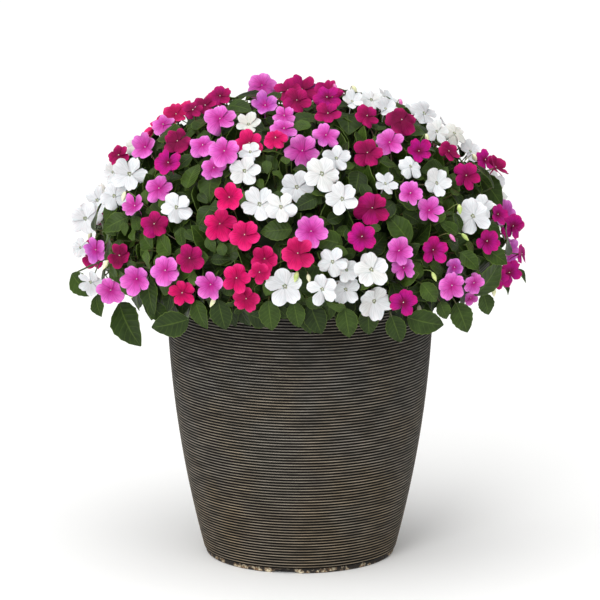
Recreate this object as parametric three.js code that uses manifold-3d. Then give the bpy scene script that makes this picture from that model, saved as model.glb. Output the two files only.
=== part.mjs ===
// A busy lizzie planting in full flower, growing as one dome in a round ribbed pot.
// Millimetres, +Z up. The origin is the middle of the pot's foot, on the ground, and -Y is the front.

import * as THREE from 'three';
import { mergeVertices } from 'three/addons/utils/BufferGeometryUtils.js';
import Module from 'manifold-3d';

const wasm = await Module();
wasm.setup();

// ---------------------------------------------------------------- driving dimensions

const POT_HEIGHT = 355;
const POT_RIM_RADIUS = 166;
const POT_FLARE = 47;            // how much smaller the wall's radius is at the ground than at the rim
const POT_WALL = 6.5;
const POT_FLOOR = 7;
const POT_SIDES = 24;
const FOOT_RADIUS = 117.5;
const FOOT_HEIGHT = 6.5;
const FOOT_GAPS = 3;
const FOOT_GAP_WIDTH = 34;
const FOOT_GAP_DEPTH = 2.5;
const FIRST_GAP_ANGLE = -98.6;   // degrees; the front is at -90
const RIB_COUNT = 12;
const RIB_DEPTH = 2.6;
const SOIL_TOP = 330;
const INSIDE_LEVELS = [120, 230, SOIL_TOP]; // where the wall's inside and the soil's side turn
const SOIL_CROWN = 5;            // how much higher the soil is in the middle
const SEAT = 0.35;               // clearance between pieces that touch

// The dome is made of layers, each an ellipsoid round one centre with a flatter underside.
const DOME_CENTRE = 384;
const BLOOM_LAYER = { radius: 262, rise: 204, fall: 80 };
const LEAF_LAYER = { radius: 250, rise: 190, fall: 130 };
const CORE_LAYER = { radius: 220, rise: 160, fall: 34 };
const LOWEST_ROOT = 379;
const CORE_SIDES = 24;
const CORE_RINGS = 10;
const PLANT_GAP = 1.2;           // between the cores of two plants
const MIDDLE_CORE = 100;         // half the width across flats of the middle plant's six-sided core
const OUTER_PLANTS = 6;
const STEM_RADIUS = 5.5;
const STEM_DEPTH = 38;           // how deep a main stem stands in the soil
const STEM_CIRCLE = 128;

// The front is laid out as an eye far off sees it, on a plan that stands square to a fall of 14.1 degrees.
const EYE_FALL = 14.1;
const EYE_BACK = 5043;
const EYE_HEIGHT = 1393;

const PETALS = 5;
const PETAL_SPREAD = 21;         // degrees from a petal's middle to each of its shoulders
const CLEFT = 0.56;              // where two petals part, as a share of the bloom's radius
const BLOOM_DISH = 2.2;
const BLOOM_BACK = 2.6;
const NECK = 12;                 // how far a stalk runs straight back from its bloom where it then bends
const NECK_BEND = 60;            // degrees; a stalk that bends less than this has no neck
const STALK_RADIUS = 1.4;
const STALK_FOOT_RADIUS = 0.9;
const FORK_RADIUS = 2.8;         // where a spray's stalks join, on the stem of the first of them
const FORK_RISE = 6;
const ROOT_DEPTH = 12;
const ROOT_ROOM = 5;             // how much deeper than the root its hole goes

const LEAF_SPOTS = 500;
const LEAF_TRIES = 8;
const LEAF_LENGTH = [36, 58];
const LEAF_SLIMNESS = 0.33;      // half width, as a share of the length
const LEAF_FOLD = 0.16;          // how far a blade's halves rise from its rib, as a share of their width
const LEAF_DROOP = 0.24;         // how far a tip falls, as a share of the length
const LEAF_RISE = [18, 42];      // how high above the core a drawn leaf starts
const LEAF_TURN = 2.6;           // radians between the furthest turns from downhill of drawn leaves
const LEAF_DEPTH = 18;           // how far before or behind its foot a hanging leaf's tip may lie
const HANGING_TURNS = [1.7, 1.2, 0.8, 0.4, 0]; // how far a hanging leaf may turn from its stalk's way
const HANGING_SPLAY = 0.4;
const STALK_BEHIND = 0.3;        // the least share of the stalk's way that stays square to the blade
const LEAF_THICKNESS = 1.4;
const LEAF_STALK_RADIUS = 1.8;
const LEAF_STALK_DEPTH = 3.1;    // of the stalk's three-cornered end under the blade
const LEAF_ROOT_DEPTH = 18;
const LEAF_STATIONS = [0.3, 0.68]; // where a blade's edge turns, as shares of its length
const RIB_STATION = 0.45;
const LEAF_LOWEST = 116;         // degrees down from the top of the dome

const PETAL_COLOURS = {
  white: 0xf4f3f0,
  pink: 0xea5fd0,
  rose: 0xf2206a,
  cranberry: 0xb8125c,
};

// The blooms that face the front, by spray: [across, up, radius, lean] in millimetres, on the front plan,
// from the middle of the pot's foot. Lean is how far a bloom turns from the dome's slope towards the eye,
// from 0 to 1.
const USUAL_LEAN = 0.52;
const FRONT_SPRAYS = [
  ['white', [[-215, 471, 24, 0.75], [-235, 444, 20], [-256, 438, 21], [-270, 414, 23, 0.7], [-277, 378, 14],
    [-264, 334, 18, 0.3]]],
  ['white', [[-156, 429, 21]]],
  ['white', [[-70, 475, 21], [-63, 499, 15, 0.3], [-65, 534, 17]]],
  ['white', [[-51, 433, 23], [-24, 429, 21], [-4, 455, 22], [28, 471, 24], [46, 491, 19], [53, 439, 22]]],
  ['white', [[41, 360, 19], [59, 350, 16], [28, 325, 20], [58, 326, 19], [90, 350, 23], [94, 311, 23]]],
  ['white', [[-19, 329, 25, 0.7]]],
  ['white', [[66, 563, 15], [90, 565, 18, 0.3], [108, 553, 15, 0.2]]],
  ['white', [[173, 525, 18], [195, 523, 18]]],
  ['white', [[140, 481, 17, 0.3], [173, 460, 19], [108, 459, 17, 0.1]]],
  ['white', [[218, 418, 24, 0.7], [230, 430, 17]]],
  ['pink', [[-48, 583, 20, 0.7], [-44, 558, 18, 0.4]]],
  ['pink', [[-101, 541, 22, 0.45], [-123, 508, 18, 0.3], [-95, 498, 20], [-109, 479, 18]]],
  ['pink', [[-20, 545, 15], [-20, 529, 18, 0.2], [3, 501, 23, 0.7], [33, 521, 19]]],
  ['pink', [[-173, 534, 17, 0.2], [-196, 505, 19], [-178, 453, 19], [-209, 431, 16, 0.1]]],
  ['pink', [[-258, 375, 18, 0.3], [-238, 323, 20], [-206, 338, 20, 0.7], [-170, 349, 20, 0.7]]],
  ['pink', [[-113, 331, 19]]],
  ['pink', [[14, 398, 22, 0.7]]],
  ['pink', [[113, 511, 19], [139, 446, 17], [163, 425, 18]]],
  ['pink', [[125, 374, 19], [131, 353, 16]]],
  ['pink', [[195, 353, 13, 0.2], [191, 329, 19], [219, 333, 15, 0.2], [215, 314, 11]]],
  ['cranberry', [[-101, 570, 16, 0.3], [-120, 558, 16, 0.3], [-135, 551, 14, 0.3]]],
  ['cranberry', [[-155, 513, 19, 0.3], [-166, 484, 19]]],
  ['cranberry', [[-229, 495, 16]]],
  ['cranberry', [[-228, 368, 17, 0.2]]],
  ['cranberry', [[-184, 408, 19], [-139, 364, 19]]],
  ['cranberry', [[-4, 565, 19], [34, 569, 19], [35, 548, 17]]],
  ['cranberry', [[85, 545, 17], [128, 538, 21], [85, 498, 20], [150, 500, 17]]],
  ['cranberry', [[91, 428, 23, 0.7], [78, 391, 19]]],
  ['cranberry', [[168, 375, 18, 0.7], [130, 308, 19]]],
  ['cranberry', [[188, 500, 15, 0.1], [210, 469, 19], [234, 489, 16], [246, 478, 18, 0.1]]],
  ['cranberry', [[236, 386, 17], [269, 405, 18], [250, 420, 14, 0.2]]],
  ['cranberry', [[264, 346, 18], [249, 339, 15], [280, 370, 14, 0]]],
  ['rose', [[-64, 511, 19], [-31, 516, 16, 0.3]]],
  ['rose', [[-89, 440, 19], [-101, 408, 22, 0.7], [-70, 394, 20]]],
  ['rose', [[-45, 364, 18], [-80, 339, 19], [-68, 313, 17], [-3, 370, 22, 0.7], [-51, 346, 14]]],
  ['rose', [[-149, 321, 18]]],
];

// Leaves that show at the front and round the skirt, on the same plan: [foot across, foot up, tip across,
// tip up].
const FRONT_LEAVES = [
  [-227, 308, -201, 254], [-287, 345, -262, 317], [-256, 318, -250, 291], [-190, 310, -165, 285],
  [-140, 288, -183, 274], [-147, 314, -137, 277], [-110, 312, -100, 274], [-40, 311, -35, 273],
  [-15, 309, -7, 270], [56, 309, 62, 271], [85, 303, 87, 268], [108, 292, 118, 257],
  [128, 290, 171, 278], [146, 333, 168, 304], [203, 308, 215, 269], [176, 310, 184, 281],
  [230, 320, 237, 293], [270, 356, 292, 334], [250, 348, 265, 321], [-153, 392, -196, 361],
  [-150, 410, -146, 380], [-10, 401, -50, 397], [-117, 430, -136, 403], [-160, 474, -126, 456],
  [-110, 480, -114, 443], [-99, 536, -82, 507], [-56, 568, -87, 554], [22, 541, -14, 534],
  [58, 548, 62, 515], [28, 440, -6, 423], [74, 474, 69, 445], [154, 473, 160, 440],
  [186, 450, 198, 416], [194, 421, 202, 390], [198, 388, 222, 358], [222, 476, 258, 438],
  [234, 382, 257, 351],
];

// The sprays on the far half follow a rule: rows down the dome, each [degrees from the top, sprays in it].
const TOP_ROW = 12;
const BACK_ROWS = [[TOP_ROW, 1], [40, 3], [64, 5], [88, 6]];
const TOP_SINK = 9;              // how far the topmost far spray lies inside the layer
const TOP_FRONT = 60;            // blooms nearer than this look to the front
const BACK_COLOURS = ['cranberry', 'white', 'pink', 'rose', 'white', 'cranberry', 'pink'];
const BACK_BLOOMS = 6;
const BACK_SPREAD = 43;
const BACK_BLOOM_RADIUS = [17, 23];
const BACK_LEAN = 0.35;
const BACK_FACE_RISE = 0.4;      // how far the blooms on the far half look up
const BACK_JITTER = 10;          // how much their distance from the spray's middle varies
const ROW_JITTER = 0.1;
const FACING_JITTER = 0.3;       // how much any bloom turns from where it would look

// How far apart pieces of different nodes stay, between points set along each.
const BLOOM_CLEAR = 7;
const STALK_CLEAR = 5.2;
const LEAF_CLEAR = 6;
const POT_CLEAR = 10;
const BLADE_ABOVE_CORE = 1.02;   // as a share of the core's own size
const STALK_ABOVE_CORE = 1.005;
const ROOT_WITHIN_CORE = 0.96;
const BORDER_CLEAR = 5;
const CROWD_CELL = 7;
const SEED = 26;

// ---------------------------------------------------------------- points, draws and the crowd

const RAD = Math.PI / 180;
const GOLDEN_ANGLE = Math.PI * (3 - Math.sqrt(5));

const point = (x, y, z) => new THREE.Vector3(x, y, z);
const along = (from, direction, distance) => from.clone().addScaledVector(direction, distance);
const mix = (a, b, share) => a + (b - a) * share;

let drawn = SEED;

/** The next random number from 0 to 1, always the same run of them. */
function draw() {
  drawn = (drawn + 0x6d2b79f5) | 0;
  let t = Math.imul(drawn ^ (drawn >>> 15), 1 | drawn);
  t = (t + Math.imul(t ^ (t >>> 7), 61 | t)) ^ t;
  return ((t ^ (t >>> 14)) >>> 0) / 4294967296;
}

/** Points set along every piece placed so far, in a grid of cells, to ask whether a new piece stays clear. */
const crowd = new Map();

const cellOf = (value) => Math.floor(value / CROWD_CELL);

function settle(points, owner) {
  for (const p of points) {
    const key = `${cellOf(p.x)},${cellOf(p.y)},${cellOf(p.z)}`;
    if (!crowd.has(key)) crowd.set(key, []);
    crowd.get(key).push([p, owner]);
  }
}

/** Whether no point of another owner lies within the distance; with no owner given, any point counts. */
function isClear(points, owner, distance) {
  const limit = distance * distance;
  for (const p of points) {
    for (let i = -1; i <= 1; i += 1) {
      for (let j = -1; j <= 1; j += 1) {
        for (let k = -1; k <= 1; k += 1) {
          const key = `${cellOf(p.x) + i},${cellOf(p.y) + j},${cellOf(p.z) + k}`;
          for (const [other, whose] of crowd.get(key) ?? []) {
            if (whose !== owner && other.distanceToSquared(p) < limit) return false;
          }
        }
      }
    }
  }
  return true;
}

// ---------------------------------------------------------------- the dome's layers

/** How far out a point lies: 1 on the layer, more outside it. */
function reach(p, layer) {
  const height = p.z - DOME_CENTRE;
  const half = height > 0 ? layer.rise : layer.fall;
  return Math.hypot(p.x / layer.radius, p.y / layer.radius, height / half);
}

/** The layer's outward direction at a point. */
function outward(p, layer) {
  const height = p.z - DOME_CENTRE;
  const half = height > 0 ? layer.rise : layer.fall;
  const flat = layer.radius * layer.radius;
  return point(p.x / flat, p.y / flat, height / (half * half)).normalize();
}

/** The layer's point at an angle down from the top and an angle round the axis. */
function onLayer(layer, down, round) {
  const half = Math.cos(down) > 0 ? layer.rise : layer.fall;
  const out = layer.radius * Math.sin(down);
  return point(out * Math.cos(round), out * Math.sin(round), DOME_CENTRE + half * Math.cos(down));
}

/** A point moved straight towards or away from the dome's centre, onto a layer. */
function ontoLayer(p, layer) {
  const scale = 1 / reach(p, layer);
  return point(p.x * scale, p.y * scale, DOME_CENTRE + (p.z - DOME_CENTRE) * scale);
}

/** Where on the core the stem to a place grows from: below it, or on the core's side for a low place. */
function rootBelow(p) {
  return ontoLayer(point(p.x, p.y, Math.max(p.z, LOWEST_ROOT)), CORE_LAYER);
}

/** Two directions square to one another and to the given one, the first of them level. */
function acrossOf(direction) {
  const level = point(-direction.y, direction.x, 0);
  if (level.length() < 0.01) level.set(1, 0, 0);
  level.normalize();
  return [level, direction.clone().cross(level)];
}

// ---------------------------------------------------------------- solids

function solidFrom(points, faces) {
  const vertProperties = new Float32Array(points.flatMap((p) => [p.x, p.y, p.z]));
  const triVerts = new Uint32Array(faces.flat());
  return new wasm.Manifold(new wasm.Mesh({ numProp: 3, vertProperties, triVerts }));
}

function solidOf(geometry) {
  const bare = geometry.clone();
  bare.deleteAttribute('normal');
  bare.deleteAttribute('uv');
  const merged = mergeVertices(bare, 1e-4);
  const vertProperties = new Float32Array(merged.attributes.position.array);
  const triVerts = new Uint32Array(merged.index.array);
  return new wasm.Manifold(new wasm.Mesh({ numProp: 3, vertProperties, triVerts }));
}

function geometryOf(solid) {
  const { vertProperties, triVerts, numProp } = solid.getMesh();
  const geometry = new THREE.BufferGeometry();
  geometry.setAttribute('position', new THREE.BufferAttribute(new Float32Array(vertProperties), numProp));
  geometry.setIndex([...triVerts]);
  const loose = geometry.toNonIndexed();
  loose.computeVertexNormals();
  return loose;
}

const joined = (solids) => solids.reduce((whole, next) => whole.add(next));

/** A solid of rings of the same number of points, each ring joined to the next, with both ends closed. */
function skinOf(rings) {
  const sides = rings[0].length;
  const faces = [];
  for (let r = 0; r + 1 < rings.length; r += 1) {
    for (let s = 0; s < sides; s += 1) {
      const a = r * sides + s;
      const b = r * sides + ((s + 1) % sides);
      faces.push([a, b, b + sides], [a, b + sides, a + sides]);
    }
  }
  const last = (rings.length - 1) * sides;
  for (let s = 1; s + 1 < sides; s += 1) {
    faces.push([0, s + 1, s], [last, last + s, last + s + 1]);
  }
  return solidFrom(rings.flat(), faces);
}

/** A point at a distance and an angle from a centre, in the plane of two directions. */
function polar(centre, [u, v], radius, angle) {
  const out = u.clone().multiplyScalar(Math.cos(angle)).addScaledVector(v, Math.sin(angle));
  return along(centre, out, radius);
}

/** A ring of points round a centre, square to a direction. */
function ringAt(centre, direction, radius, sides) {
  const plane = acrossOf(direction);
  return Array.from({ length: sides }, (_, i) => polar(centre, plane, radius, (i / sides) * 2 * Math.PI));
}

function rod(from, to, radius, sides) {
  const direction = to.clone().sub(from).normalize();
  return skinOf([ringAt(from, direction, radius, sides), ringAt(to, direction, radius, sides)]);
}

// ---------------------------------------------------------------- pot and soil

const potRadius = (z) => POT_RIM_RADIUS - POT_FLARE * (1 - z / POT_HEIGHT) ** 2;
const insideRadius = (z) => potRadius(z) - POT_WALL;

function potSolid() {
  const profile = [[0, 0], [FOOT_RADIUS, 0], [FOOT_RADIUS, FOOT_HEIGHT]];
  const pitch = (POT_HEIGHT - FOOT_HEIGHT) / (RIB_COUNT + 0.5);
  for (let rib = 0; rib < RIB_COUNT; rib += 1) {
    const groove = FOOT_HEIGHT + pitch * (rib + 0.25);
    const ridge = groove + pitch / 2;
    profile.push([potRadius(groove) - RIB_DEPTH, groove], [potRadius(ridge), ridge]);
  }
  profile.push([POT_RIM_RADIUS - RIB_DEPTH, POT_HEIGHT - pitch / 3], [POT_RIM_RADIUS, POT_HEIGHT]);
  profile.push([POT_RIM_RADIUS - POT_WALL, POT_HEIGHT]);
  for (const z of INSIDE_LEVELS.toReversed()) profile.push([insideRadius(z), z]);
  profile.push([insideRadius(POT_FLOOR), POT_FLOOR], [0, POT_FLOOR]);
  const shell = solidOf(new THREE.LatheGeometry(profile.map(([r, z]) => new THREE.Vector2(r, z)), POT_SIDES)
    .rotateX(Math.PI / 2));
  const gaps = Array.from({ length: FOOT_GAPS }, (_, i) => {
    const block = new THREE.BoxGeometry(2 * FOOT_GAP_DEPTH, FOOT_GAP_WIDTH, 2 * FOOT_GAP_DEPTH);
    block.translate(FOOT_RADIUS, 0, 0);
    return solidOf(block.rotateZ(FIRST_GAP_ANGLE * RAD + (i / FOOT_GAPS) * 2 * Math.PI));
  });
  return shell.subtract(joined(gaps));
}

const stemPlaces = [point(0, 0, 0)];
for (let i = 0; i < OUTER_PLANTS; i += 1) {
  const round = ((i + 0.5) / OUTER_PLANTS) * 2 * Math.PI;
  stemPlaces.push(point(STEM_CIRCLE * Math.cos(round), STEM_CIRCLE * Math.sin(round), 0));
}

function stemSolid(place, clearance) {
  const foot = point(place.x, place.y, SOIL_TOP - STEM_DEPTH - clearance);
  const top = point(place.x, place.y, DOME_CENTRE);
  return rod(foot, top, STEM_RADIUS + clearance, 6);
}

function soilSolid() {
  const floor = POT_FLOOR + SEAT;
  const profile = [[0, floor], [insideRadius(floor) - SEAT, floor]];
  for (const z of INSIDE_LEVELS) profile.push([insideRadius(z) - SEAT, z]);
  profile.push([0, SOIL_TOP + SOIL_CROWN]);
  const fill = solidOf(new THREE.LatheGeometry(profile.map(([r, z]) => new THREE.Vector2(r, z)), POT_SIDES)
    .rotateX(Math.PI / 2));
  return fill.subtract(joined(stemPlaces.map((place) => stemSolid(place, SEAT))));
}

// ---------------------------------------------------------------- blooms

const eyeBack = point(0, -Math.cos(EYE_FALL * RAD), Math.sin(EYE_FALL * RAD));
const planUp = point(0, Math.sin(EYE_FALL * RAD), Math.cos(EYE_FALL * RAD));

/** Where the sight line through a place on the front plan meets a layer, or comes nearest to it. */
function meetLayer(across, up, layer) {
  const target = along(point(across, 0, 0), planUp, up);
  const sight = target.clone().sub(point(0, -EYE_BACK, EYE_HEIGHT)).normalize();
  let near = -2 * layer.radius;
  let far = near;
  for (let step = near; step < layer.radius; step += 4) {
    if (reach(along(target, sight, step), layer) < reach(along(target, sight, far), layer)) far = step;
  }
  if (reach(along(target, sight, far), layer) > 1) return along(target, sight, far);
  for (let halving = 0; halving < 30; halving += 1) {
    const middle = (near + far) / 2;
    if (reach(along(target, sight, middle), layer) > 1) near = middle;
    else far = middle;
  }
  return along(target, sight, far);
}

/** Points set over a bloom's face, to keep others away from it. */
function bloomPoints(bloom) {
  const rings = [[0.33, 6], [0.65, 12], [0.97, 18]];
  return [bloom.centre, ...rings.flatMap(([share, count]) => (
    ringAt(bloom.centre, bloom.facing, share * bloom.radius, count)
  ))];
}

const SHIFTS = [0, 8, -8, 15, -15, 22, -22, 29];
const SHRINKS = [1, 0.92, 0.84, 0.76];

/** A bloom at a place on the layer, moved in or out along a sight line until it is clear of all others. */
function placeBloom(place, radius, slope, sight, lean, owner) {
  const facing = slope.clone().multiplyScalar(1 - lean).addScaledVector(sight, lean);
  facing.add(point(draw() - 0.5, draw() - 0.5, draw() - 0.5).multiplyScalar(FACING_JITTER)).normalize();
  const bloom = { radius, facing, spin: draw() * 2 * Math.PI, centre: place };
  const fits = () => {
    const points = bloomPoints(bloom);
    return points.every((p) => reach(p, CORE_LAYER) > BLADE_ABOVE_CORE) && isClear(points, '', BLOOM_CLEAR);
  };
  for (const shrink of SHRINKS) {
    bloom.radius = radius * shrink;
    const fitting = SHIFTS.some((shift) => {
      bloom.centre = along(place, sight, shift);
      return fits();
    });
    if (fitting) break;
  }
  settle(bloomPoints(bloom), owner);
  return bloom;
}

function frontSpray([colour, places], index) {
  const name = `blooms_${colour}_${index + 1}`;
  const blooms = places.map(([across, up, radius, lean = USUAL_LEAN]) => {
    const place = meetLayer(across, up, BLOOM_LAYER);
    return placeBloom(place, radius, outward(place, BLOOM_LAYER), eyeBack, lean, name);
  });
  return { name, colour, blooms };
}

function backSprays(firstIndex) {
  const sprays = [];
  for (const [down, count] of BACK_ROWS) {
    for (let i = 0; i < count; i += 1) {
      const round = ((i + 0.5) / count) * Math.PI + (draw() - 0.5) * ROW_JITTER;
      const colour = BACK_COLOURS[sprays.length % BACK_COLOURS.length];
      const name = `blooms_${colour}_${firstIndex + sprays.length + 1}`;
      const middle = onLayer(BLOOM_LAYER, down * RAD, round);
      const plane = acrossOf(outward(middle, BLOOM_LAYER));
      const turn = draw() * 2 * Math.PI;
      const blooms = [];
      for (let b = 0; b < BACK_BLOOMS; b += 1) {
        const angle = turn + (b / (BACK_BLOOMS - 1)) * 2 * Math.PI;
        const out = b === 0 ? 0 : BACK_SPREAD + BACK_JITTER * (draw() - 0.5);
        const place = ontoLayer(polar(middle, plane, out, angle), BLOOM_LAYER);
        if (down === TOP_ROW) place.z -= TOP_SINK;
        const away = point(place.x, place.y, 0).normalize().setZ(BACK_FACE_RISE).normalize();
        const sight = place.y < TOP_FRONT ? eyeBack : away;
        const radius = mix(BACK_BLOOM_RADIUS[0], BACK_BLOOM_RADIUS[1], draw());
        blooms.push(placeBloom(place, radius, outward(place, BLOOM_LAYER), sight, BACK_LEAN, name));
      }
      sprays.push({ name, colour, blooms });
    }
  }
  return sprays;
}

/** Where a stalk turns towards the fork: at the bloom's back, or at the end of a neck if it turns sharply. */
function bendOf(bloom, fork) {
  const straight = bloom.facing.clone().negate();
  const start = along(bloom.centre, straight, BLOOM_DISH + BLOOM_BACK);
  const bend = straight.angleTo(fork.clone().sub(start));
  return bend > NECK_BEND * RAD ? along(bloom.centre, straight, NECK) : start;
}

function stalkPoints(bloom, fork) {
  const bend = bendOf(bloom, fork);
  const steps = Math.ceil(bend.distanceTo(fork) / 4);
  return Array.from({ length: steps }, (_, i) => bend.clone().lerp(fork, i / steps));
}

const FORK_RINGS = [[0, 1], [10, 6], [20, 8], [30, 10], [40, 12], [50, 14]];

/** Sets a spray's fork on the plants' core behind its blooms, where its stalks stay clear of other sprays. */
function forkSpray(spray) {
  const behind = point(0, 0, 0);
  for (const bloom of spray.blooms) behind.add(along(bloom.centre, bloom.facing, -2 * NECK));
  behind.multiplyScalar(1 / spray.blooms.length);
  const plane = acrossOf(outward(behind, CORE_LAYER));
  let fewest = Infinity;
  for (const [out, count] of FORK_RINGS) {
    for (let i = 0; i < count && fewest > 0; i += 1) {
      const root = rootBelow(polar(behind, plane, out, (i / count) * 2 * Math.PI));
      const fork = along(root, outward(root, CORE_LAYER), FORK_RISE);
      const stalks = [root, fork, ...spray.blooms.flatMap((bloom) => stalkPoints(bloom, fork))];
      const sunk = stalks.filter((p) => p !== root && reach(p, CORE_LAYER) < STALK_ABOVE_CORE).length;
      if (sunk > 0 || plantAt(root, BORDER_CLEAR) < 0) continue;
      const clashes = stalks.filter((p) => !isClear([p], spray.name, STALK_CLEAR)).length;
      if (clashes < fewest) {
        fewest = clashes;
        Object.assign(spray, { root, fork, stalks, rootOut: outward(root, CORE_LAYER) });
      }
    }
  }
  const steep = spray.blooms.map((bloom) => bendOf(bloom, spray.fork).sub(spray.fork).angleTo(spray.rootOut));
  spray.leader = spray.blooms[steep.indexOf(Math.min(...steep))];
  settle(spray.stalks, spray.name);
}

/** A three-cornered ring round a stalk that left its bloom straight back and now runs a given way. */
function stalkRing(bloom, centre, way, radius) {
  const plane = acrossOf(bloom.facing);
  const straight = bloom.facing.clone().negate();
  const axis = straight.clone().cross(way).normalize();
  const bend = straight.angleTo(way);
  return [1, 4, 7].map((ninth) => {
    const side = polar(point(0, 0, 0), plane, radius, bloom.spin + (ninth / 9) * 2 * Math.PI);
    return side.applyAxisAngle(axis, bend).add(centre);
  });
}

/** A bloom on its stalk: five blunt petals round a dished face. A leading stalk goes on into the root. */
function bloomSolid(bloom, spray) {
  const isLeading = bloom === spray.leader;
  const plane = acrossOf(bloom.facing);
  const onFace = (radius, angle, height) => (
    polar(along(bloom.centre, bloom.facing, height), plane, radius, angle)
  );
  const rim = [];
  for (let petal = 0; petal < PETALS; petal += 1) {
    const middle = bloom.spin + (petal / PETALS) * 2 * Math.PI;
    rim.push(onFace(bloom.radius, middle - PETAL_SPREAD * RAD, 0));
    rim.push(onFace(bloom.radius, middle + PETAL_SPREAD * RAD, 0));
    rim.push(onFace(bloom.radius * CLEFT, middle + Math.PI / PETALS, -BLOOM_DISH / 2));
  }
  const straight = bloom.facing.clone().negate();
  const start = along(bloom.centre, straight, BLOOM_DISH + BLOOM_BACK);
  const bend = bendOf(bloom, spray.fork);
  const way = spray.fork.clone().sub(bend).normalize();
  const halfway = straight.clone().add(way).normalize();
  const hasNeck = bend.distanceTo(start) > 1;
  const rings = [stalkRing(bloom, start, hasNeck ? straight : halfway, STALK_RADIUS)];
  if (hasNeck) rings.push(stalkRing(bloom, bend, halfway, STALK_RADIUS));
  rings.push(isLeading
    ? stalkRing(bloom, spray.fork, spray.rootOut.clone().negate(), FORK_RADIUS)
    : stalkRing(bloom, spray.fork, way, STALK_FOOT_RADIUS));
  const points = [...rim, onFace(0, 0, -BLOOM_DISH), ...rings.flat()];
  const faces = rim.map((_, i) => [rim.length, i, (i + 1) % rim.length]);
  const first = rim.length + 1;
  const share = rim.length / 3;
  for (let i = 0; i < 3; i += 1) {
    const next = (i + 1) % 3;
    for (let k = 0; k < share; k += 1) {
      faces.push([first + i, (i * share + k + 1) % rim.length, i * share + k]);
    }
    faces.push([first + i, first + next, (next * share) % rim.length]);
    for (let row = first; row + 3 < points.length; row += 3) {
      faces.push([row + i, row + next + 3, row + next], [row + i, row + i + 3, row + next + 3]);
    }
  }
  const last = points.length - 3;
  if (isLeading) {
    points.push(along(spray.root, spray.rootOut, -ROOT_DEPTH));
    faces.push([last, last + 3, last + 1], [last + 1, last + 3, last + 2], [last + 2, last + 3, last]);
  } else {
    faces.push([last, last + 2, last + 1]);
  }
  return solidFrom(points, faces);
}

/** The hole that a spray's root stands in: the root's own three-sided taper, wider and deeper. */
function rootHole(spray) {
  const ring = stalkRing(spray.leader, spray.fork, spray.rootOut.clone().negate(), FORK_RADIUS + 2 * SEAT);
  const tip = along(spray.root, spray.rootOut, -ROOT_DEPTH - ROOT_ROOM);
  return solidFrom([...ring, tip], [[0, 1, 2], [0, 3, 1], [1, 3, 2], [2, 3, 0]]);
}

const spraySolid = (spray) => joined(spray.blooms.map((bloom) => bloomSolid(bloom, spray)));

// ---------------------------------------------------------------- leaves and plants

const HALF_SECTOR = Math.PI / OUTER_PLANTS;

/** Which plant a point belongs to: 0 in the middle, then one for each sixth round it. Near a border, none. */
function plantAt(p, margin) {
  const turn = Math.atan2(p.y, p.x) + (p.y < 0 ? 2 * Math.PI : 0);
  const sector = Math.min(Math.floor(turn / (2 * HALF_SECTOR)), OUTER_PLANTS - 1);
  const off = turn - (2 * sector + 1) * HALF_SECTOR;
  const out = Math.hypot(p.x, p.y);
  const flat = out * Math.cos(off);
  const toSide = out * Math.sin(HALF_SECTOR - Math.abs(off));
  if (flat < MIDDLE_CORE - margin) return 0;
  if (flat > MIDDLE_CORE + margin && toSide > margin) return sector + 1;
  return -1;
}

/** Where a hanging blade looks: turned to the front as far as its stalk still comes up behind it. */
function hangingOut(stalk, base, tip) {
  const chord = tip.clone().sub(base).normalize();
  const front = point(base.x, base.y, 0).normalize().multiplyScalar(HANGING_SPLAY).add(point(0, -1, 0));
  const turned = HANGING_TURNS.map((turn) => {
    const out = along(stalk, front.clone().normalize(), turn);
    return along(out, chord, -out.dot(chord)).normalize();
  });
  return turned.find((out) => out.dot(stalk) > STALK_BEHIND) ?? turned.at(-1);
}

/** A leaf whose blade starts at a place over the core and ends at another. */
function leafBetween(base, tip, hangs = false) {
  const root = rootBelow(base);
  const foot = along(root, outward(root, CORE_LAYER), -LEAF_ROOT_DEPTH);
  const stalk = base.clone().sub(foot).normalize();
  const out = hangs ? hangingOut(stalk, base, tip) : stalk;
  const lifted = along(tip, out, LEAF_DROOP * base.distanceTo(tip)).sub(base);
  const length = lifted.length();
  const run = lifted.normalize();
  const side = out.clone().cross(run).normalize();
  return { root, foot, base, out, run, side, length };
}

/** A point of a leaf's blade, by its share of the length and of the half width. */
function onBlade(leaf, share, across, half) {
  const droop = leaf.length * LEAF_DROOP * (0.3 * share - 1.3 * share * share);
  return along(leaf.base, leaf.out, droop + LEAF_FOLD * Math.abs(across) * half)
    .addScaledVector(leaf.run, leaf.length * share).addScaledVector(leaf.side, across * half);
}

/** The blade's half width along its length: oval, widest before the middle, with a pointed tip. */
const halfWidth = (leaf, share) => leaf.length * LEAF_SLIMNESS * Math.sin(Math.PI * share ** 0.8) ** 0.8;

function bladePoints(leaf) {
  const points = [];
  for (let i = 1; i < 12; i += 1) {
    const half = halfWidth(leaf, i / 12);
    for (let sixth = -3; sixth <= 3; sixth += 1) points.push(onBlade(leaf, i / 12, sixth / 3, half));
  }
  return points;
}

function leafStalkPoints(leaf) {
  const steps = Math.ceil(leaf.foot.distanceTo(leaf.base) / 4);
  const points = Array.from({ length: steps + 1 }, (_, i) => leaf.foot.clone().lerp(leaf.base, i / steps));
  return points.filter((p) => reach(p, CORE_LAYER) > 1);
}

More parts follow.
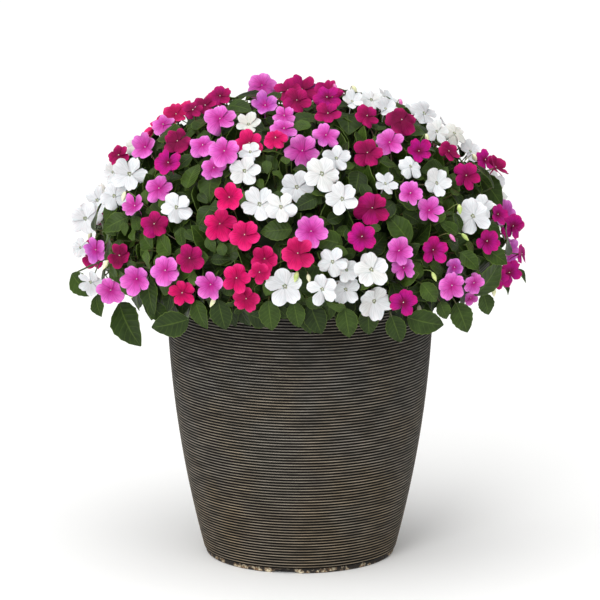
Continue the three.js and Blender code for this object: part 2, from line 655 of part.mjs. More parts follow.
/** Which plant a leaf can grow from, clear of the core, the pot and every other piece; -1 if from none. */
function homeOf(leaf) {
  const plant = plantAt(leaf.root, BORDER_CLEAR);
  if (plant !== plantAt(leaf.foot, 1) || reach(leaf.foot, CORE_LAYER) > ROOT_WITHIN_CORE) return -1;
  const blade = bladePoints(leaf);
  const whole = [...blade, ...leafStalkPoints(leaf)];
  const outsidePot = (p) => p.z > POT_HEIGHT + POT_CLEAR || Math.hypot(p.x, p.y) > POT_RIM_RADIUS + POT_CLEAR;
  const fits = blade.every((p) => reach(p, CORE_LAYER) > BLADE_ABOVE_CORE) && whole.every(outsidePot)
    && isClear(whole, '', LEAF_CLEAR);
  return fits ? plant : -1;
}

/** Adds the first leaf that fits of a list of them. */
function addLeaf(leaves, choices) {
  for (const leaf of choices) {
    const plant = homeOf(leaf);
    if (plant >= 0) {
      leaves.push({ ...leaf, plant });
      settle([...bladePoints(leaf), ...leafStalkPoints(leaf)], 'leaves');
      return;
    }
  }
}

/** A drawn leaf at an angle down and round the dome, running mostly downhill. */
function drawnLeaf(down, round, rise) {
  const root = onLayer(CORE_LAYER, down, round);
  const out = outward(onLayer(BLOOM_LAYER, down, round), BLOOM_LAYER);
  const base = along(root, out, rise);
  const level = point(-Math.sin(round), Math.cos(round), 0);
  const downhill = out.clone().cross(level);
  const turn = (draw() - 0.5) * LEAF_TURN;
  const length = mix(LEAF_LENGTH[0], LEAF_LENGTH[1], draw());
  const tip = along(base, downhill, length * Math.cos(turn)).addScaledVector(level, length * Math.sin(turn));
  return leafBetween(base, along(tip, out, -LEAF_DROOP * length));
}

/** The tip of a leaf that shows. One that hangs from the skirt stays near its foot's own depth. */
function hangingTip(tip, foot) {
  const behind = foot.clone().sub(tip).dot(eyeBack);
  const kept = foot.z > DOME_CENTRE ? behind : Math.min(Math.max(behind, -LEAF_DEPTH), LEAF_DEPTH);
  return along(tip, eyeBack, behind - kept);
}

/** Small moves to try for a leaf that shows: across, up and towards the eye. */
const LEAF_NUDGES = [];
for (const shift of [0, -7, 7, -14, 14, -21, 21]) {
  LEAF_NUDGES.push([0, 0, shift], [7, 0, shift], [-7, 0, shift], [0, -7, shift], [0, 7, shift]);
}

/** The leaves that show first, then leaf spots spread evenly down and round the whole dome. */
function placeLeaves() {
  const leaves = [];
  for (const [footAcross, footUp, tipAcross, tipUp] of FRONT_LEAVES) {
    const choices = LEAF_NUDGES.flatMap(([across, up, shift]) => {
      const foot = along(meetLayer(footAcross + across, footUp + up, LEAF_LAYER), eyeBack, shift);
      const onTheLayer = along(meetLayer(tipAcross + across, tipUp + up, LEAF_LAYER), eyeBack, shift);
      const tip = hangingTip(onTheLayer, foot);
      return [1, 0.82].map((share) => leafBetween(foot, foot.clone().lerp(tip, share), foot.z < DOME_CENTRE));
    });
    addLeaf(leaves, choices);
  }
  for (let spot = 0; spot < LEAF_SPOTS; spot += 1) {
    const drop = (1 - Math.cos(LEAF_LOWEST * RAD)) * ((spot + 0.5) / LEAF_SPOTS);
    const down = Math.acos(1 - drop);
    const round = (spot * GOLDEN_ANGLE) % (2 * Math.PI);
    const choices = Array.from({ length: LEAF_TRIES }, () => (
      drawnLeaf(down, round, mix(LEAF_RISE[0], LEAF_RISE[1], draw()))
    ));
    addLeaf(leaves, choices);
  }
  return leaves;
}

/** A folded, drooping blade on a stalk that tapers into the core. */
function leafSolid(leaf) {
  const edgeOf = (side) => LEAF_STATIONS.map((share) => onBlade(leaf, share, side, halfWidth(leaf, share)));
  const [left, right] = [edgeOf(-1), edgeOf(1)];
  const rib = onBlade(leaf, RIB_STATION, 0, 0);
  const top = [-1, 1, 0].map((corner) => along(leaf.base, leaf.side, corner * LEAF_STALK_RADIUS)
    .addScaledVector(leaf.run, corner === 0 ? -LEAF_STALK_DEPTH : 0));
  const edge = [top[0], ...left, onBlade(leaf, 1, 0, 0), ...right.reverse(), top[1]];
  const points = [...edge, top[2], leaf.foot, rib, along(rib, leaf.out, -LEAF_THICKNESS)];
  const end = edge.length - 1;
  const [back, deep, above, below] = [end + 1, end + 2, end + 3, end + 4];
  const faces = [[above, end, back], [above, back, 0], [below, 0, end]];
  faces.push([0, back, deep], [back, end, deep], [end, 0, deep]);
  for (let i = 0; i < end; i += 1) faces.push([above, i, i + 1], [below, i + 1, i]);
  return solidFrom(points, faces);
}

function coreSolid() {
  const profile = Array.from({ length: CORE_RINGS + 1 }, (_, i) => {
    const down = Math.PI * (1 - i / CORE_RINGS);
    const half = Math.cos(down) > 0 ? CORE_LAYER.rise : CORE_LAYER.fall;
    return new THREE.Vector2(CORE_LAYER.radius * Math.sin(down), DOME_CENTRE + half * Math.cos(down));
  });
  profile[0].x = 0;
  profile[CORE_RINGS].x = 0;
  return solidOf(new THREE.LatheGeometry(profile, CORE_SIDES).rotateX(Math.PI / 2));
}

/** A tall block over one plant's own ground: six-sided in the middle, or one sixth of the ring round it. */
function plotSolid(plant) {
  const slope = Math.tan(HALF_SECTOR);
  const edge = PLANT_GAP / 2 / Math.cos(HALF_SECTOR);
  const near = MIDDLE_CORE + PLANT_GAP / 2;
  const far = 2 * CORE_LAYER.radius;
  const corners = plant === 0
    ? Array.from({ length: OUTER_PLANTS }, (_, i) => {
      const out = (MIDDLE_CORE - PLANT_GAP / 2) / Math.cos(HALF_SECTOR);
      return [out * Math.cos(2 * i * HALF_SECTOR), out * Math.sin(2 * i * HALF_SECTOR)];
    })
    : [[near, -(near * slope - edge)], [far, -(far * slope - edge)], [far, far * slope - edge],
      [near, near * slope - edge]];
  const outline = new THREE.Shape(corners.map(([x, y]) => new THREE.Vector2(x, y)));
  const block = new THREE.ExtrudeGeometry(outline, { depth: 2 * DOME_CENTRE, bevelEnabled: false });
  return solidOf(plant === 0 ? block : block.rotateZ((2 * plant - 1) * HALF_SECTOR));
}

function plantSolid(plant, core, leaves, rootHoles) {
  const plot = plotSolid(plant);
  const body = joined([core.intersect(plot), stemSolid(stemPlaces[plant], 0)]);
  const own = leaves.filter((leaf) => leaf.plant === plant).map(leafSolid);
  return joined([body, ...own]).subtract(rootHoles);
}

// ---------------------------------------------------------------- the whole planting

const frontSprays = FRONT_SPRAYS.map(frontSpray);
frontSprays.forEach(forkSpray);
const farSprays = backSprays(frontSprays.length);
farSprays.forEach(forkSpray);
const sprays = [...frontSprays, ...farSprays];
const leaves = placeLeaves();

const planting = new THREE.Group();

function addPiece(name, solid, [color, roughness, metalness]) {
  const material = new THREE.MeshStandardMaterial({ color, roughness, metalness });
  const mesh = new THREE.Mesh(geometryOf(solid), material);
  mesh.name = name;
  planting.add(mesh);
}

const POT_RESIN = [0x4b4238, 0.5, 0.25];
const DAMP_SOIL = [0x2d2119, 1, 0];
const LEAF_GREEN = [0x35541f, 0.45, 0];
const PETAL_ROUGHNESS = 0.6;

addPiece('pot', potSolid(), POT_RESIN);
addPiece('potting_soil', soilSolid(), DAMP_SOIL);
const core = coreSolid();
const rootHoles = joined(sprays.map(rootHole));
for (let plant = 0; plant <= OUTER_PLANTS; plant += 1) {
  const name = plant === 0 ? 'plant_middle' : `plant_${plant}`;
  addPiece(name, plantSolid(plant, core, leaves, rootHoles), LEAF_GREEN);
}
for (const spray of sprays) {
  addPiece(spray.name, spraySolid(spray), [PETAL_COLOURS[spray.colour], PETAL_ROUGHNESS, 0]);
}

export default planting;
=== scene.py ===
"""A busy lizzie planting in full flower in its round ribbed pot, dressed for a studio view.

The frame gives the place of every bloom and leaf. This script gives each of them its real form and finish:
notched petals with an eye and a spur, scalloped veined leaves, buds, a finely ribbed pot and damp soil.
"""

import math
import random

import bmesh
import bpy
import numpy as np
from mathutils import Matrix, Vector, noise


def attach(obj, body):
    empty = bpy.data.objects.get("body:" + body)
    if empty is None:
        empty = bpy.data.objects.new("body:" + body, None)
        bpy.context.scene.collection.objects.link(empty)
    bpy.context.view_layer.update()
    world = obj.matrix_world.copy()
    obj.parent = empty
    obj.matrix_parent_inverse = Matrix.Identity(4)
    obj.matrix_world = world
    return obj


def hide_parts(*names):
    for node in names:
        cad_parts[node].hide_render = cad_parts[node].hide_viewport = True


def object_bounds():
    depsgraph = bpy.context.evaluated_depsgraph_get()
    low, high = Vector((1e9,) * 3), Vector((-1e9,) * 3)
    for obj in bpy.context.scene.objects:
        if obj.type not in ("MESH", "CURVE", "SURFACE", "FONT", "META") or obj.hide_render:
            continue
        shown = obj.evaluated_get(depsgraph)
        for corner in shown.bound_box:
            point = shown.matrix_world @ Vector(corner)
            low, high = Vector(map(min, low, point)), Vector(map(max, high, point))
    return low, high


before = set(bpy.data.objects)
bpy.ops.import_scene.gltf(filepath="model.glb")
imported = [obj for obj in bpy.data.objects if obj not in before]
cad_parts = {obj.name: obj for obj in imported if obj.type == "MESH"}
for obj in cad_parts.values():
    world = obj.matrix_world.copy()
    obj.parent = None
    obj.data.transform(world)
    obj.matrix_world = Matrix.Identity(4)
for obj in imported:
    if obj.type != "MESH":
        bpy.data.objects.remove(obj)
CAD_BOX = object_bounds()
LOW, HIGH = (np.array(corner) for corner in CAD_BOX)
SPRAYS = [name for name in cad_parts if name.startswith("blooms_")]

bl_info = {
    "name": "Potted Busy Lizzie",
    "version": (1, 0, 0),
    "blender": (4, 5, 0),
    "location": "View3D > Sidebar > Busy Lizzie",
    "description": "Gives a potted busy lizzie its petals, leaves, buds, ribbed pot, soil and studio",
    "category": "Object",
}

MM = 0.001
RAD = math.pi / 180
GOLDEN_ANGLE = math.pi * (3 - math.sqrt(5))
UP = Vector((0, 0, 1))
SEED = 11

# The dome of the planting: ellipsoid layers round one centre, each with a flatter underside. A layer is its
# radius, its rise above the centre and its fall below it, in metres.
DOME_CENTRE = 0.384
BLOOM_LAYER = (0.262, 0.204, 0.080)
LEAF_LAYER = (0.250, 0.190, 0.130)
CORE_LAYER = (0.220, 0.160, 0.034)
OUTER_PLANTS = 6
MIDDLE_PLOT = 0.100              # half the width across flats of the middle plant's six-sided ground
STEM_CIRCLE = 0.128              # the circle that the outer plants' main stems stand on
STEM_DEPTH = 38 * MM             # how deep a main stem stands in the soil
STEM_RADIUS = 5.5 * MM
BRANCHES = 5                     # of each main stem, inside the plant's core
BRANCH_RADIUS = 3.2 * MM

# The eye that the front is laid out for. Its plan stands square to the sight line's fall.
EYE = Vector((0, -5.0433, 1.3934))
EYE_FALL = 14.1 * RAD
EYE_BACK = Vector((0, -math.cos(EYE_FALL), math.sin(EYE_FALL)))
PLAN_UP = Vector((0, math.sin(EYE_FALL), math.cos(EYE_FALL)))


def linear(colour):
    """The linear value of an sRGB hex colour."""
    channels = [int(colour[i:i + 2], 16) / 255 for i in (1, 3, 5)]
    return (*[c / 12.92 if c <= 0.04045 else ((c + 0.055) / 1.055) ** 2.4 for c in channels], 1)


def rgba(colour):
    """A setting's colour with its alpha."""
    return (*colour, 1)


# ---------------------------------------------------------------- settings


class LizziePotSettings(bpy.types.PropertyGroup):
    """Sizes and colours of the pot and its soil."""

    rib_pitch: bpy.props.FloatProperty(
        name="Rib pitch", description="Height from one rib to the next",
        default=3.68 * MM, subtype="DISTANCE", unit="LENGTH")
    rib_depth: bpy.props.FloatProperty(
        name="Rib depth", description="How far a rib stands out of its groove",
        default=1.1 * MM, subtype="DISTANCE", unit="LENGTH")
    resin: bpy.props.FloatVectorProperty(
        name="Resin", description="Colour of the moulded resin in the grooves",
        default=linear("#11100f")[:3], subtype="COLOR", min=0, max=1)
    crest: bpy.props.FloatVectorProperty(
        name="Crests", description="Colour of the bronze rubbed on to the crests of the ribs",
        default=linear("#928d84")[:3], subtype="COLOR", min=0, max=1)


class LizzieLeafSettings(bpy.types.PropertyGroup):
    """Numbers and colours of the leaves."""

    inner_leaves: bpy.props.IntProperty(
        name="Inner leaves", description="Shaded leaves that lie close round the stems of the whole dome",
        default=430, min=0)
    turned_leaves: bpy.props.IntProperty(
        name="Turned leaves", description="Places tried for leaves that stand with their broad side turned",
        default=600, min=0)
    young_leaves: bpy.props.IntProperty(
        name="Young leaves", description="Places tried for small leaves between the blooms",
        default=1500, min=0)
    tiny_leaves: bpy.props.IntProperty(
        name="Tiny leaves", description="Places tried for the smallest leaves, at the ends of the shoots",
        default=1500, min=0)
    skirt_leaves: bpy.props.IntProperty(
        name="Skirt leaves", description="Places tried for leaves that hang over the pot's lip",
        default=330, min=0)
    dark: bpy.props.FloatVectorProperty(
        name="Old leaf", description="Colour of a full-grown leaf",
        default=linear("#233311")[:3], subtype="COLOR", min=0, max=1)
    fresh: bpy.props.FloatVectorProperty(
        name="Young leaf", description="Colour of a young leaf",
        default=linear("#41581e")[:3], subtype="COLOR", min=0, max=1)


class LizzieBloomSettings(bpy.types.PropertyGroup):
    """Form of the blooms."""

    notch: bpy.props.FloatProperty(
        name="Notch", description="Depth of the notch in a petal's end, as a share of the bloom's radius",
        default=0.11, min=0, max=0.3)
    thickness: bpy.props.FloatProperty(
        name="Petal thickness", description="Thickness of a petal",
        default=0.45 * MM, subtype="DISTANCE", unit="LENGTH")
    spur: bpy.props.FloatProperty(
        name="Spur", description="Length of the thin spur behind a bloom",
        default=19 * MM, subtype="DISTANCE", unit="LENGTH")


class LizzieStageSettings(bpy.types.PropertyGroup):
    """The studio."""

    lens: bpy.props.FloatProperty(
        name="Lens", description="Focal length of the camera, in millimetres",
        default=249.6, unit="CAMERA")
    look_down: bpy.props.FloatProperty(
        name="Look down", description="How far the camera looks down",
        default=12.03 * RAD, subtype="ANGLE", unit="ROTATION")
    floor: bpy.props.FloatVectorProperty(
        name="Floor", description="Colour of the studio floor",
        default=linear("#fafaf9")[:3], subtype="COLOR", min=0, max=1)


# ---------------------------------------------------------------- reading the frame


def merged(node):
    """A bmesh copy of a CAD node with its loose triangles joined."""
    mesh = bmesh.new()
    mesh.from_mesh(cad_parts[node].data)
    bmesh.ops.remove_doubles(mesh, verts=mesh.verts, dist=0.002 * MM)
    return mesh


def neighbours(vertex):
    """The points that share an edge with a point."""
    return [edge.other_vert(vertex) for edge in vertex.link_edges]


def reach(point, layer):
    """How far out a point lies: 1 on the layer, more outside it."""
    radius, rise, fall = layer
    height = point.z - DOME_CENTRE
    return Vector((point.x / radius, point.y / radius, height / (rise if height > 0 else fall))).length


def outward(point, layer):
    """The layer's outward direction at a point."""
    radius, rise, fall = layer
    height = point.z - DOME_CENTRE
    half = rise if height > 0 else fall
    return Vector((point.x / radius ** 2, point.y / radius ** 2, height / half ** 2)).normalized()


def on_layer(layer, down, turn):
    """The layer's point at an angle down from the top and an angle round the axis."""
    radius, rise, fall = layer
    half = rise if math.cos(down) > 0 else fall
    out = radius * math.sin(down)
    return Vector((out * math.cos(turn), out * math.sin(turn), DOME_CENTRE + half * math.cos(down)))


def across_of(direction):
    """Two directions square to one another and to the given one, the first of them level."""
    level = Vector((-direction.y, direction.x, 0))
    if level.length < 0.01:
        level = Vector((1, 0, 0))
    level.normalize()
    return level, direction.cross(level)


def plan_place(point):
    """Where the eye sees a point on the front plan: (across, up) in millimetres."""
    ray = point - EYE
    hit = EYE + ray * (EYE.dot(EYE_BACK) / -ray.dot(EYE_BACK))
    return hit.x / MM, hit.dot(PLAN_UP) / MM


PETALS = 5
RIM_POINTS = 3 * PETALS          # each petal has two shoulders and a cleft beside it
FEWEST_SHOULDERS = 8             # a hub with fewer shoulders round it is no bloom's middle
DISH = 2.2 * MM                  # how deep a bloom's middle lies behind its rim
ROOT_DEPTH = 12 * MM             # how deep a spray's stem stands in its plant
FORK_RISE = 6 * MM               # how far above the plant's stems a spray forks


def read_blooms(node):
    """The blooms of one spray: for each its middle, facing, radius, spin and the fork of its stalk."""
    mesh = merged(node)
    blooms = []
    for hub in mesh.verts:
        if len(hub.link_faces) < RIM_POINTS - 3:
            continue
        facing = sum((face.normal * face.calc_area() for face in hub.link_faces), Vector()).normalized()
        rim = [other.co - hub.co for other in neighbours(hub)]
        flat = [spoke - facing * spoke.dot(facing) for spoke in rim]
        radius = max(spoke.length for spoke in flat)
        shoulders = [f for f, s in zip(flat, rim)
                     if f.length > 0.985 * radius and abs(s.dot(facing) - DISH) < 0.2 * MM]
        if len(shoulders) < FEWEST_SHOULDERS:
            continue
        u, v = across_of(facing)
        turns = [PETALS * math.atan2(f.dot(v), f.dot(u)) for f in flat if f.length > 0.5 * radius]
        spin = math.atan2(-sum(map(math.sin, turns)), -sum(map(math.cos, turns))) / PETALS
        blooms.append({"centre": hub.co + facing * DISH, "facing": facing, "radius": radius, "spin": spin})
    tip = min(mesh.verts, key=lambda vertex: reach(vertex.co, CORE_LAYER)).co.copy()
    root_out = outward(tip, CORE_LAYER)
    for _ in range(4):
        root_out = outward(tip + root_out * ROOT_DEPTH, CORE_LAYER)
    for bloom in blooms:
        bloom["fork"] = tip + root_out * (ROOT_DEPTH + FORK_RISE)
        bloom["root_out"] = root_out
    mesh.free()
    return blooms


BLADE_EDGE = 7                   # points round a blade that its upper and lower fans share
LEAF_THICKNESS = 1.4 * MM
LEAF_DROOP = 0.24                # how far a tip falls, as a share of the length
LEAF_FOLD = 0.16                 # how far a blade's halves rise from its rib, as a share of their width
LEAF_SLIMNESS = 0.33             # half width, as a share of the length


def read_leaves(node):
    """The leaves of one plant. A blade is a fan above and one below that share an edge of seven points."""
    mesh = merged(node)
    above = [vertex for vertex in mesh.verts if len(vertex.link_faces) == BLADE_EDGE + 1]
    below = [vertex for vertex in mesh.verts if len(vertex.link_faces) == BLADE_EDGE]
    leaves = []
    for top in above:
        for under in below:
            if abs((top.co - under.co).length - LEAF_THICKNESS) > 0.02 * MM:
                continue
            edge = set(neighbours(top)) & set(neighbours(under))
            spare = [other for other in neighbours(top) if other not in edge]
            if len(edge) != BLADE_EDGE or len(spare) != 1:
                continue
            corners = [other for other in neighbours(spare[0]) if other in edge]
            if len(corners) != 2:
                continue
            base = (corners[0].co + corners[1].co) / 2
            tip = max((other.co for other in edge), key=lambda place: (place - base).length)
            leaf = leaf_between(base, tip, (top.co - under.co).normalized())
            down = [other.co for other in neighbours(spare[0]) if other not in edge and other is not top]
            foot = max(down, key=lambda place: (place - base).length)
            leaf["stalk"] = (base - foot).normalized()
            leaves.append(leaf)
    mesh.free()
    return leaves


def leaf_between(base, tip, out):
    """A blade from base to tip, standing off its stalk's direction, that droops towards its tip."""
    reach_out = tip - base
    fall = 2 * LEAF_DROOP * reach_out.dot(out)
    spare = 1 - LEAF_DROOP ** 2
    length = (fall + math.sqrt(fall ** 2 + 4 * spare * reach_out.length_squared)) / (2 * spare)
    run = ((reach_out + out * LEAF_DROOP * length) / length).normalized()
    side = out.cross(run).normalized()
    return {"base": base.copy(), "out": out, "run": run, "side": side, "length": length, "stalk": out}


# ---------------------------------------------------------------- templates and piles


class Template:
    """A small closed mesh modelled once, to be copied and bent: its points, faces and UV places."""

    def __init__(self, piece):
        mesh = piece.data
        self.points = np.array([vertex.co for vertex in mesh.vertices])
        self.faces = [list(face.vertices) for face in mesh.polygons]
        self.uv = np.array([corner.uv for corner in mesh.uv_layers.active.data])
        bpy.data.objects.remove(piece)


def start_piece():
    """Deselects everything, so that the next operator acts on the new piece alone."""
    bpy.ops.object.select_all(action="DESELECT")


def slab(columns, rows):
    """A closed sheet: x from -1 to 1 across, y from 0 to 1 along, z 0 on top and -1 underneath."""
    start_piece()
    bpy.ops.mesh.primitive_grid_add(x_subdivisions=columns, y_subdivisions=rows, size=2)
    piece = bpy.context.object
    bpy.ops.object.mode_set(mode="EDIT")
    bpy.ops.transform.translate(value=(0, 1, 0))
    bpy.ops.transform.resize(value=(1, 0.5, 1), center_override=(0, 0, 0))
    bpy.ops.object.mode_set(mode="OBJECT")
    thicken = piece.modifiers.new("thickness", "SOLIDIFY")
    thicken.thickness = 1
    thicken.offset = -1
    bpy.ops.object.modifier_apply(modifier=thicken.name)
    return Template(piece)


def rod(sides, rows):
    """A closed rod of radius 1 along z from 0 to 1, with a ring of points at each row."""
    start_piece()
    bpy.ops.mesh.primitive_cylinder_add(vertices=sides, radius=1, depth=1, location=(0, 0, 0.5))
    piece = bpy.context.object
    bpy.ops.object.transform_apply(location=True, rotation=False, scale=False)
    for row in range(1, rows):
        bpy.ops.object.mode_set(mode="EDIT")
        bpy.ops.mesh.select_all(action="SELECT")
        bpy.ops.mesh.bisect(plane_co=(0, 0, row / rows), plane_no=(0, 0, 1))
        bpy.ops.object.mode_set(mode="OBJECT")
    return Template(piece)


def ball(segments, rings):
    """A closed ball of radius 1."""
    start_piece()
    bpy.ops.mesh.primitive_uv_sphere_add(segments=segments, ring_count=rings, radius=1)
    return Template(bpy.context.object)


class Pile:
    """Bent copies of templates, gathered into one piece."""

    def __init__(self):
        self.points = []
        self.faces = []
        self.uv = []
        self.tint = []
        self.finish = []
        self.count = 0

    def add(self, template, points, finish, tint):
        """Adds one copy of a template, bent to the given points and kept inside the planting's box."""
        self.points.append(np.clip(points, LOW, HIGH))
        self.faces.extend([corner + self.count for corner in face] for face in template.faces)
        self.uv.append(template.uv)
        self.tint.append(np.full(len(points), tint))
        self.finish.extend([finish] * len(template.faces))
        self.count += len(points)

    def add_rod(self, kit, path, radii, finish, tint):
        """Adds a rod bent along a path, with a radius at each of its places."""
        self.add(kit["rod"], along_path(kit["rod"], path, radii), finish, tint)

    def make(self, name, finishes, sharp_angle=50):
        """The finished piece, with one material slot for each finish."""
        mesh = bpy.data.meshes.new(name)
        mesh.from_pydata(np.concatenate(self.points), [], self.faces)
        layer = mesh.uv_layers.new(name="UVMap")
        layer.data.foreach_set("uv", np.concatenate(self.uv).ravel())
        tint = mesh.attributes.new("tint", "FLOAT", "POINT")
        tint.data.foreach_set("value", np.concatenate(self.tint))
        names = list(finishes)
        for finish in names:
            mesh.materials.append(finishes[finish])
        mesh.polygons.foreach_set("material_index", [names.index(finish) for finish in self.finish])
        piece = bpy.data.objects.new(name, mesh)
        bpy.context.scene.collection.objects.link(piece)
        start_piece()
        piece.select_set(True)
        bpy.context.view_layer.objects.active = piece
        bpy.ops.object.shade_smooth_by_angle(angle=sharp_angle * RAD)
        return piece


def along_path(template, path, radii):
    """A rod's points bent along a path of places, with a radius at each."""
    path = [Vector(place) for place in path]
    frames = []
    side = None
    for i, place in enumerate(path):
        way = (path[min(i + 1, len(path) - 1)] - path[max(i - 1, 0)]).normalized()
        side = across_of(way)[0] if side is None else (side - way * side.dot(way)).normalized()
        frames.append((np.array(place), np.array(side), np.array(way.cross(side))))
    steps = np.clip(np.rint(template.points[:, 2] * (len(path) - 1)).astype(int), 0, len(path) - 1)
    places = np.array([f[0] for f in frames])[steps]
    sides = np.array([f[1] for f in frames])[steps]
    overs = np.array([f[2] for f in frames])[steps]
    width = np.array(radii)[steps][:, None]
    return places + width * (template.points[:, 0:1] * sides + template.points[:, 1:2] * overs)


def bezier(start, first, second, end, steps):
    """Places along a Bezier curve, both ends included."""
    places = []
    for i in range(steps + 1):
        t = i / steps
        places.append(start * (1 - t) ** 3 + first * 3 * t * (1 - t) ** 2
                      + second * 3 * t * t * (1 - t) + end * t ** 3)
    return places


MOST_POINTS = 200000


class Crowd:
    """Points along every piece placed so far, to ask whether a new one stays clear."""

    def __init__(self):
        self.points = np.zeros((MOST_POINTS, 3))
        self.count = 0

    def settle(self, points):
        """Adds the points of a piece that stays."""
        self.points[self.count:self.count + len(points)] = points
        self.count += len(points)

    def is_clear(self, points, distance):
        """Whether a new piece's points all lie further than a distance from the crowd's."""
        middle = points.mean(axis=0)
        size = np.abs(points - middle).max() + distance
        others = self.points[:self.count]
        near = others[(np.abs(others - middle) < size).all(axis=1)]
        if len(near) == 0:
            return True
        gaps = np.linalg.norm(near[:, None, :] - points[None, :, :], axis=2)
        return gaps.min() > distance


def surface_points(node):
    """Points spread over a CAD node's faces, to keep leaves clear of it."""
    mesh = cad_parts[node].data
    places = []
    for face in mesh.polygons:
        corners = [mesh.vertices[i].co for i in face.vertices]
        middle = sum(corners, Vector()) / 3
        places.append(middle)
        places.extend(corner.lerp(middle, 0.4) for corner in corners)
    return np.array(places)


def crowd_of_sprays():
    """A crowd that starts with every spray, where the frame has it."""
    crowd = Crowd()
    for node in SPRAYS:
        crowd.settle(surface_points(node))
    return crowd


# ---------------------------------------------------------------- materials


def add_node(tree, kind, inputs=None, **settings):
    """Adds a node with its settings, and sets each input to a value or links it to an output or a whole node.

    A whole node gives its first output that is in use. An input goes by its name or number: on a Mix node 0
    is the factor and 6 and 7 the colours, on a Map Range node 0 is the value and 1 to 4 the ranges' ends."""
    made = tree.nodes.new(kind)
    for key, value in settings.items():
        setattr(made, key, value)
    for key, value in (inputs or {}).items():
        if isinstance(value, bpy.types.Node):
            value = next(output for output in value.outputs if output.enabled)
        if isinstance(value, bpy.types.NodeSocket):
            tree.links.new(value, made.inputs[key])
        else:
            made.inputs[key].default_value = value
    return made


def new_material(name):
    """A new material, its empty node tree and its output."""
    material = bpy.data.materials.new(name)
    material.use_nodes = True
    tree = material.node_tree
    tree.nodes.clear()
    output = tree.nodes.new("ShaderNodeOutputMaterial")
    return material, tree, output


def finish_material(tree, output, inputs):
    """Adds the surface's shader with its inputs, and links it to the output."""
    shader = add_node(tree, "ShaderNodeBsdfPrincipled", inputs)
    tree.links.new(shader.outputs[0], output.inputs["Surface"])


def petal_finish(name, body, other, eye, rim, eye_reach, streak):
    """Living petal: a matt, finely streaked skin that light passes into, deeper in colour at its eye and
    paler at its rim, partly as a painted highlight.

    The tint runs from -1, a deep bloom, over 0, the usual one, to 1, one of the other colour."""
    material, tree, output = new_material(name)
    place = add_node(tree, "ShaderNodeUVMap", uv_map="UVMap").outputs["UV"]
    parts = add_node(tree, "ShaderNodeSeparateXYZ", {0: place}).outputs
    tint = add_node(tree, "ShaderNodeAttribute", attribute_name="tint").outputs["Fac"]
    ground = add_node(tree, "ShaderNodeMix", {0: tint, 6: linear(body), 7: linear(other)}, data_type="RGBA")
    depth = add_node(tree, "ShaderNodeMapRange", {0: tint, 1: -1.0, 2: 0.0, 3: 0.5, 4: 1.0})
    ground = add_node(tree, "ShaderNodeMix", {0: 1.0, 6: ground, 7: depth},
                      data_type="RGBA", blend_type="MULTIPLY")
    # Streaks run the length of a petal, about one to a millimetre across its 18 mm.
    stretched = add_node(tree, "ShaderNodeMapping", {"Vector": place, "Scale": (18, 1.6, 1)})
    streaks = add_node(tree, "ShaderNodeTexNoise", {"Vector": stretched, "Scale": 1.0, "Detail": 2.0})
    shade = add_node(tree, "ShaderNodeMapRange", {0: streaks, 1: 0.35, 2: 0.7, 3: streak, 4: 1.0})
    streaked = add_node(tree, "ShaderNodeMix", {0: 1.0, 6: ground, 7: shade},
                        data_type="RGBA", blend_type="MULTIPLY")
    # The outer half of a petal pales towards the rim colour: partly the petal's own paler edge, partly a
    # painted highlight.
    edge = add_node(tree, "ShaderNodeMapRange", {0: parts[1], 1: 0.55, 2: 1.0, 3: 0.0, 4: 0.45})
    rim_highlighted = add_node(tree, "ShaderNodeMix", {0: edge, 6: streaked, 7: linear(rim)},
                      data_type="RGBA")
    # The eye reaches furthest along a petal's midline, so that five petals make a small star.
    off = add_node(tree, "ShaderNodeMath", {0: parts[0], 1: 0.5}, operation="SUBTRACT")
    off = add_node(tree, "ShaderNodeMath", {0: off}, operation="ABSOLUTE")
    star = add_node(tree, "ShaderNodeMath", {0: off, 1: 0.35, 2: parts[1]}, operation="MULTIPLY_ADD")
    deep = add_node(tree, "ShaderNodeMapRange", {0: star, 1: 0.08, 2: eye_reach, 3: 0.95, 4: 0.0},
                    interpolation_type="SMOOTHSTEP")
    colour = add_node(tree, "ShaderNodeMix", {0: deep, 6: rim_highlighted, 7: linear(eye)},
                      data_type="RGBA")
    bump = add_node(tree, "ShaderNodeBump", {"Height": streaks, "Strength": 0.25, "Distance": 0.3 * MM})
    finish_material(tree, output, {
        "Base Color": colour, "Roughness": 0.6, "IOR": 1.38, "Specular IOR Level": 0.12, "Normal": bump,
        "Subsurface Weight": 0.4, "Subsurface Radius": (1.0, 0.7, 0.7), "Subsurface Scale": 1.5 * MM,
        "Sheen Weight": 0.02, "Sheen Roughness": 0.5})
    return material


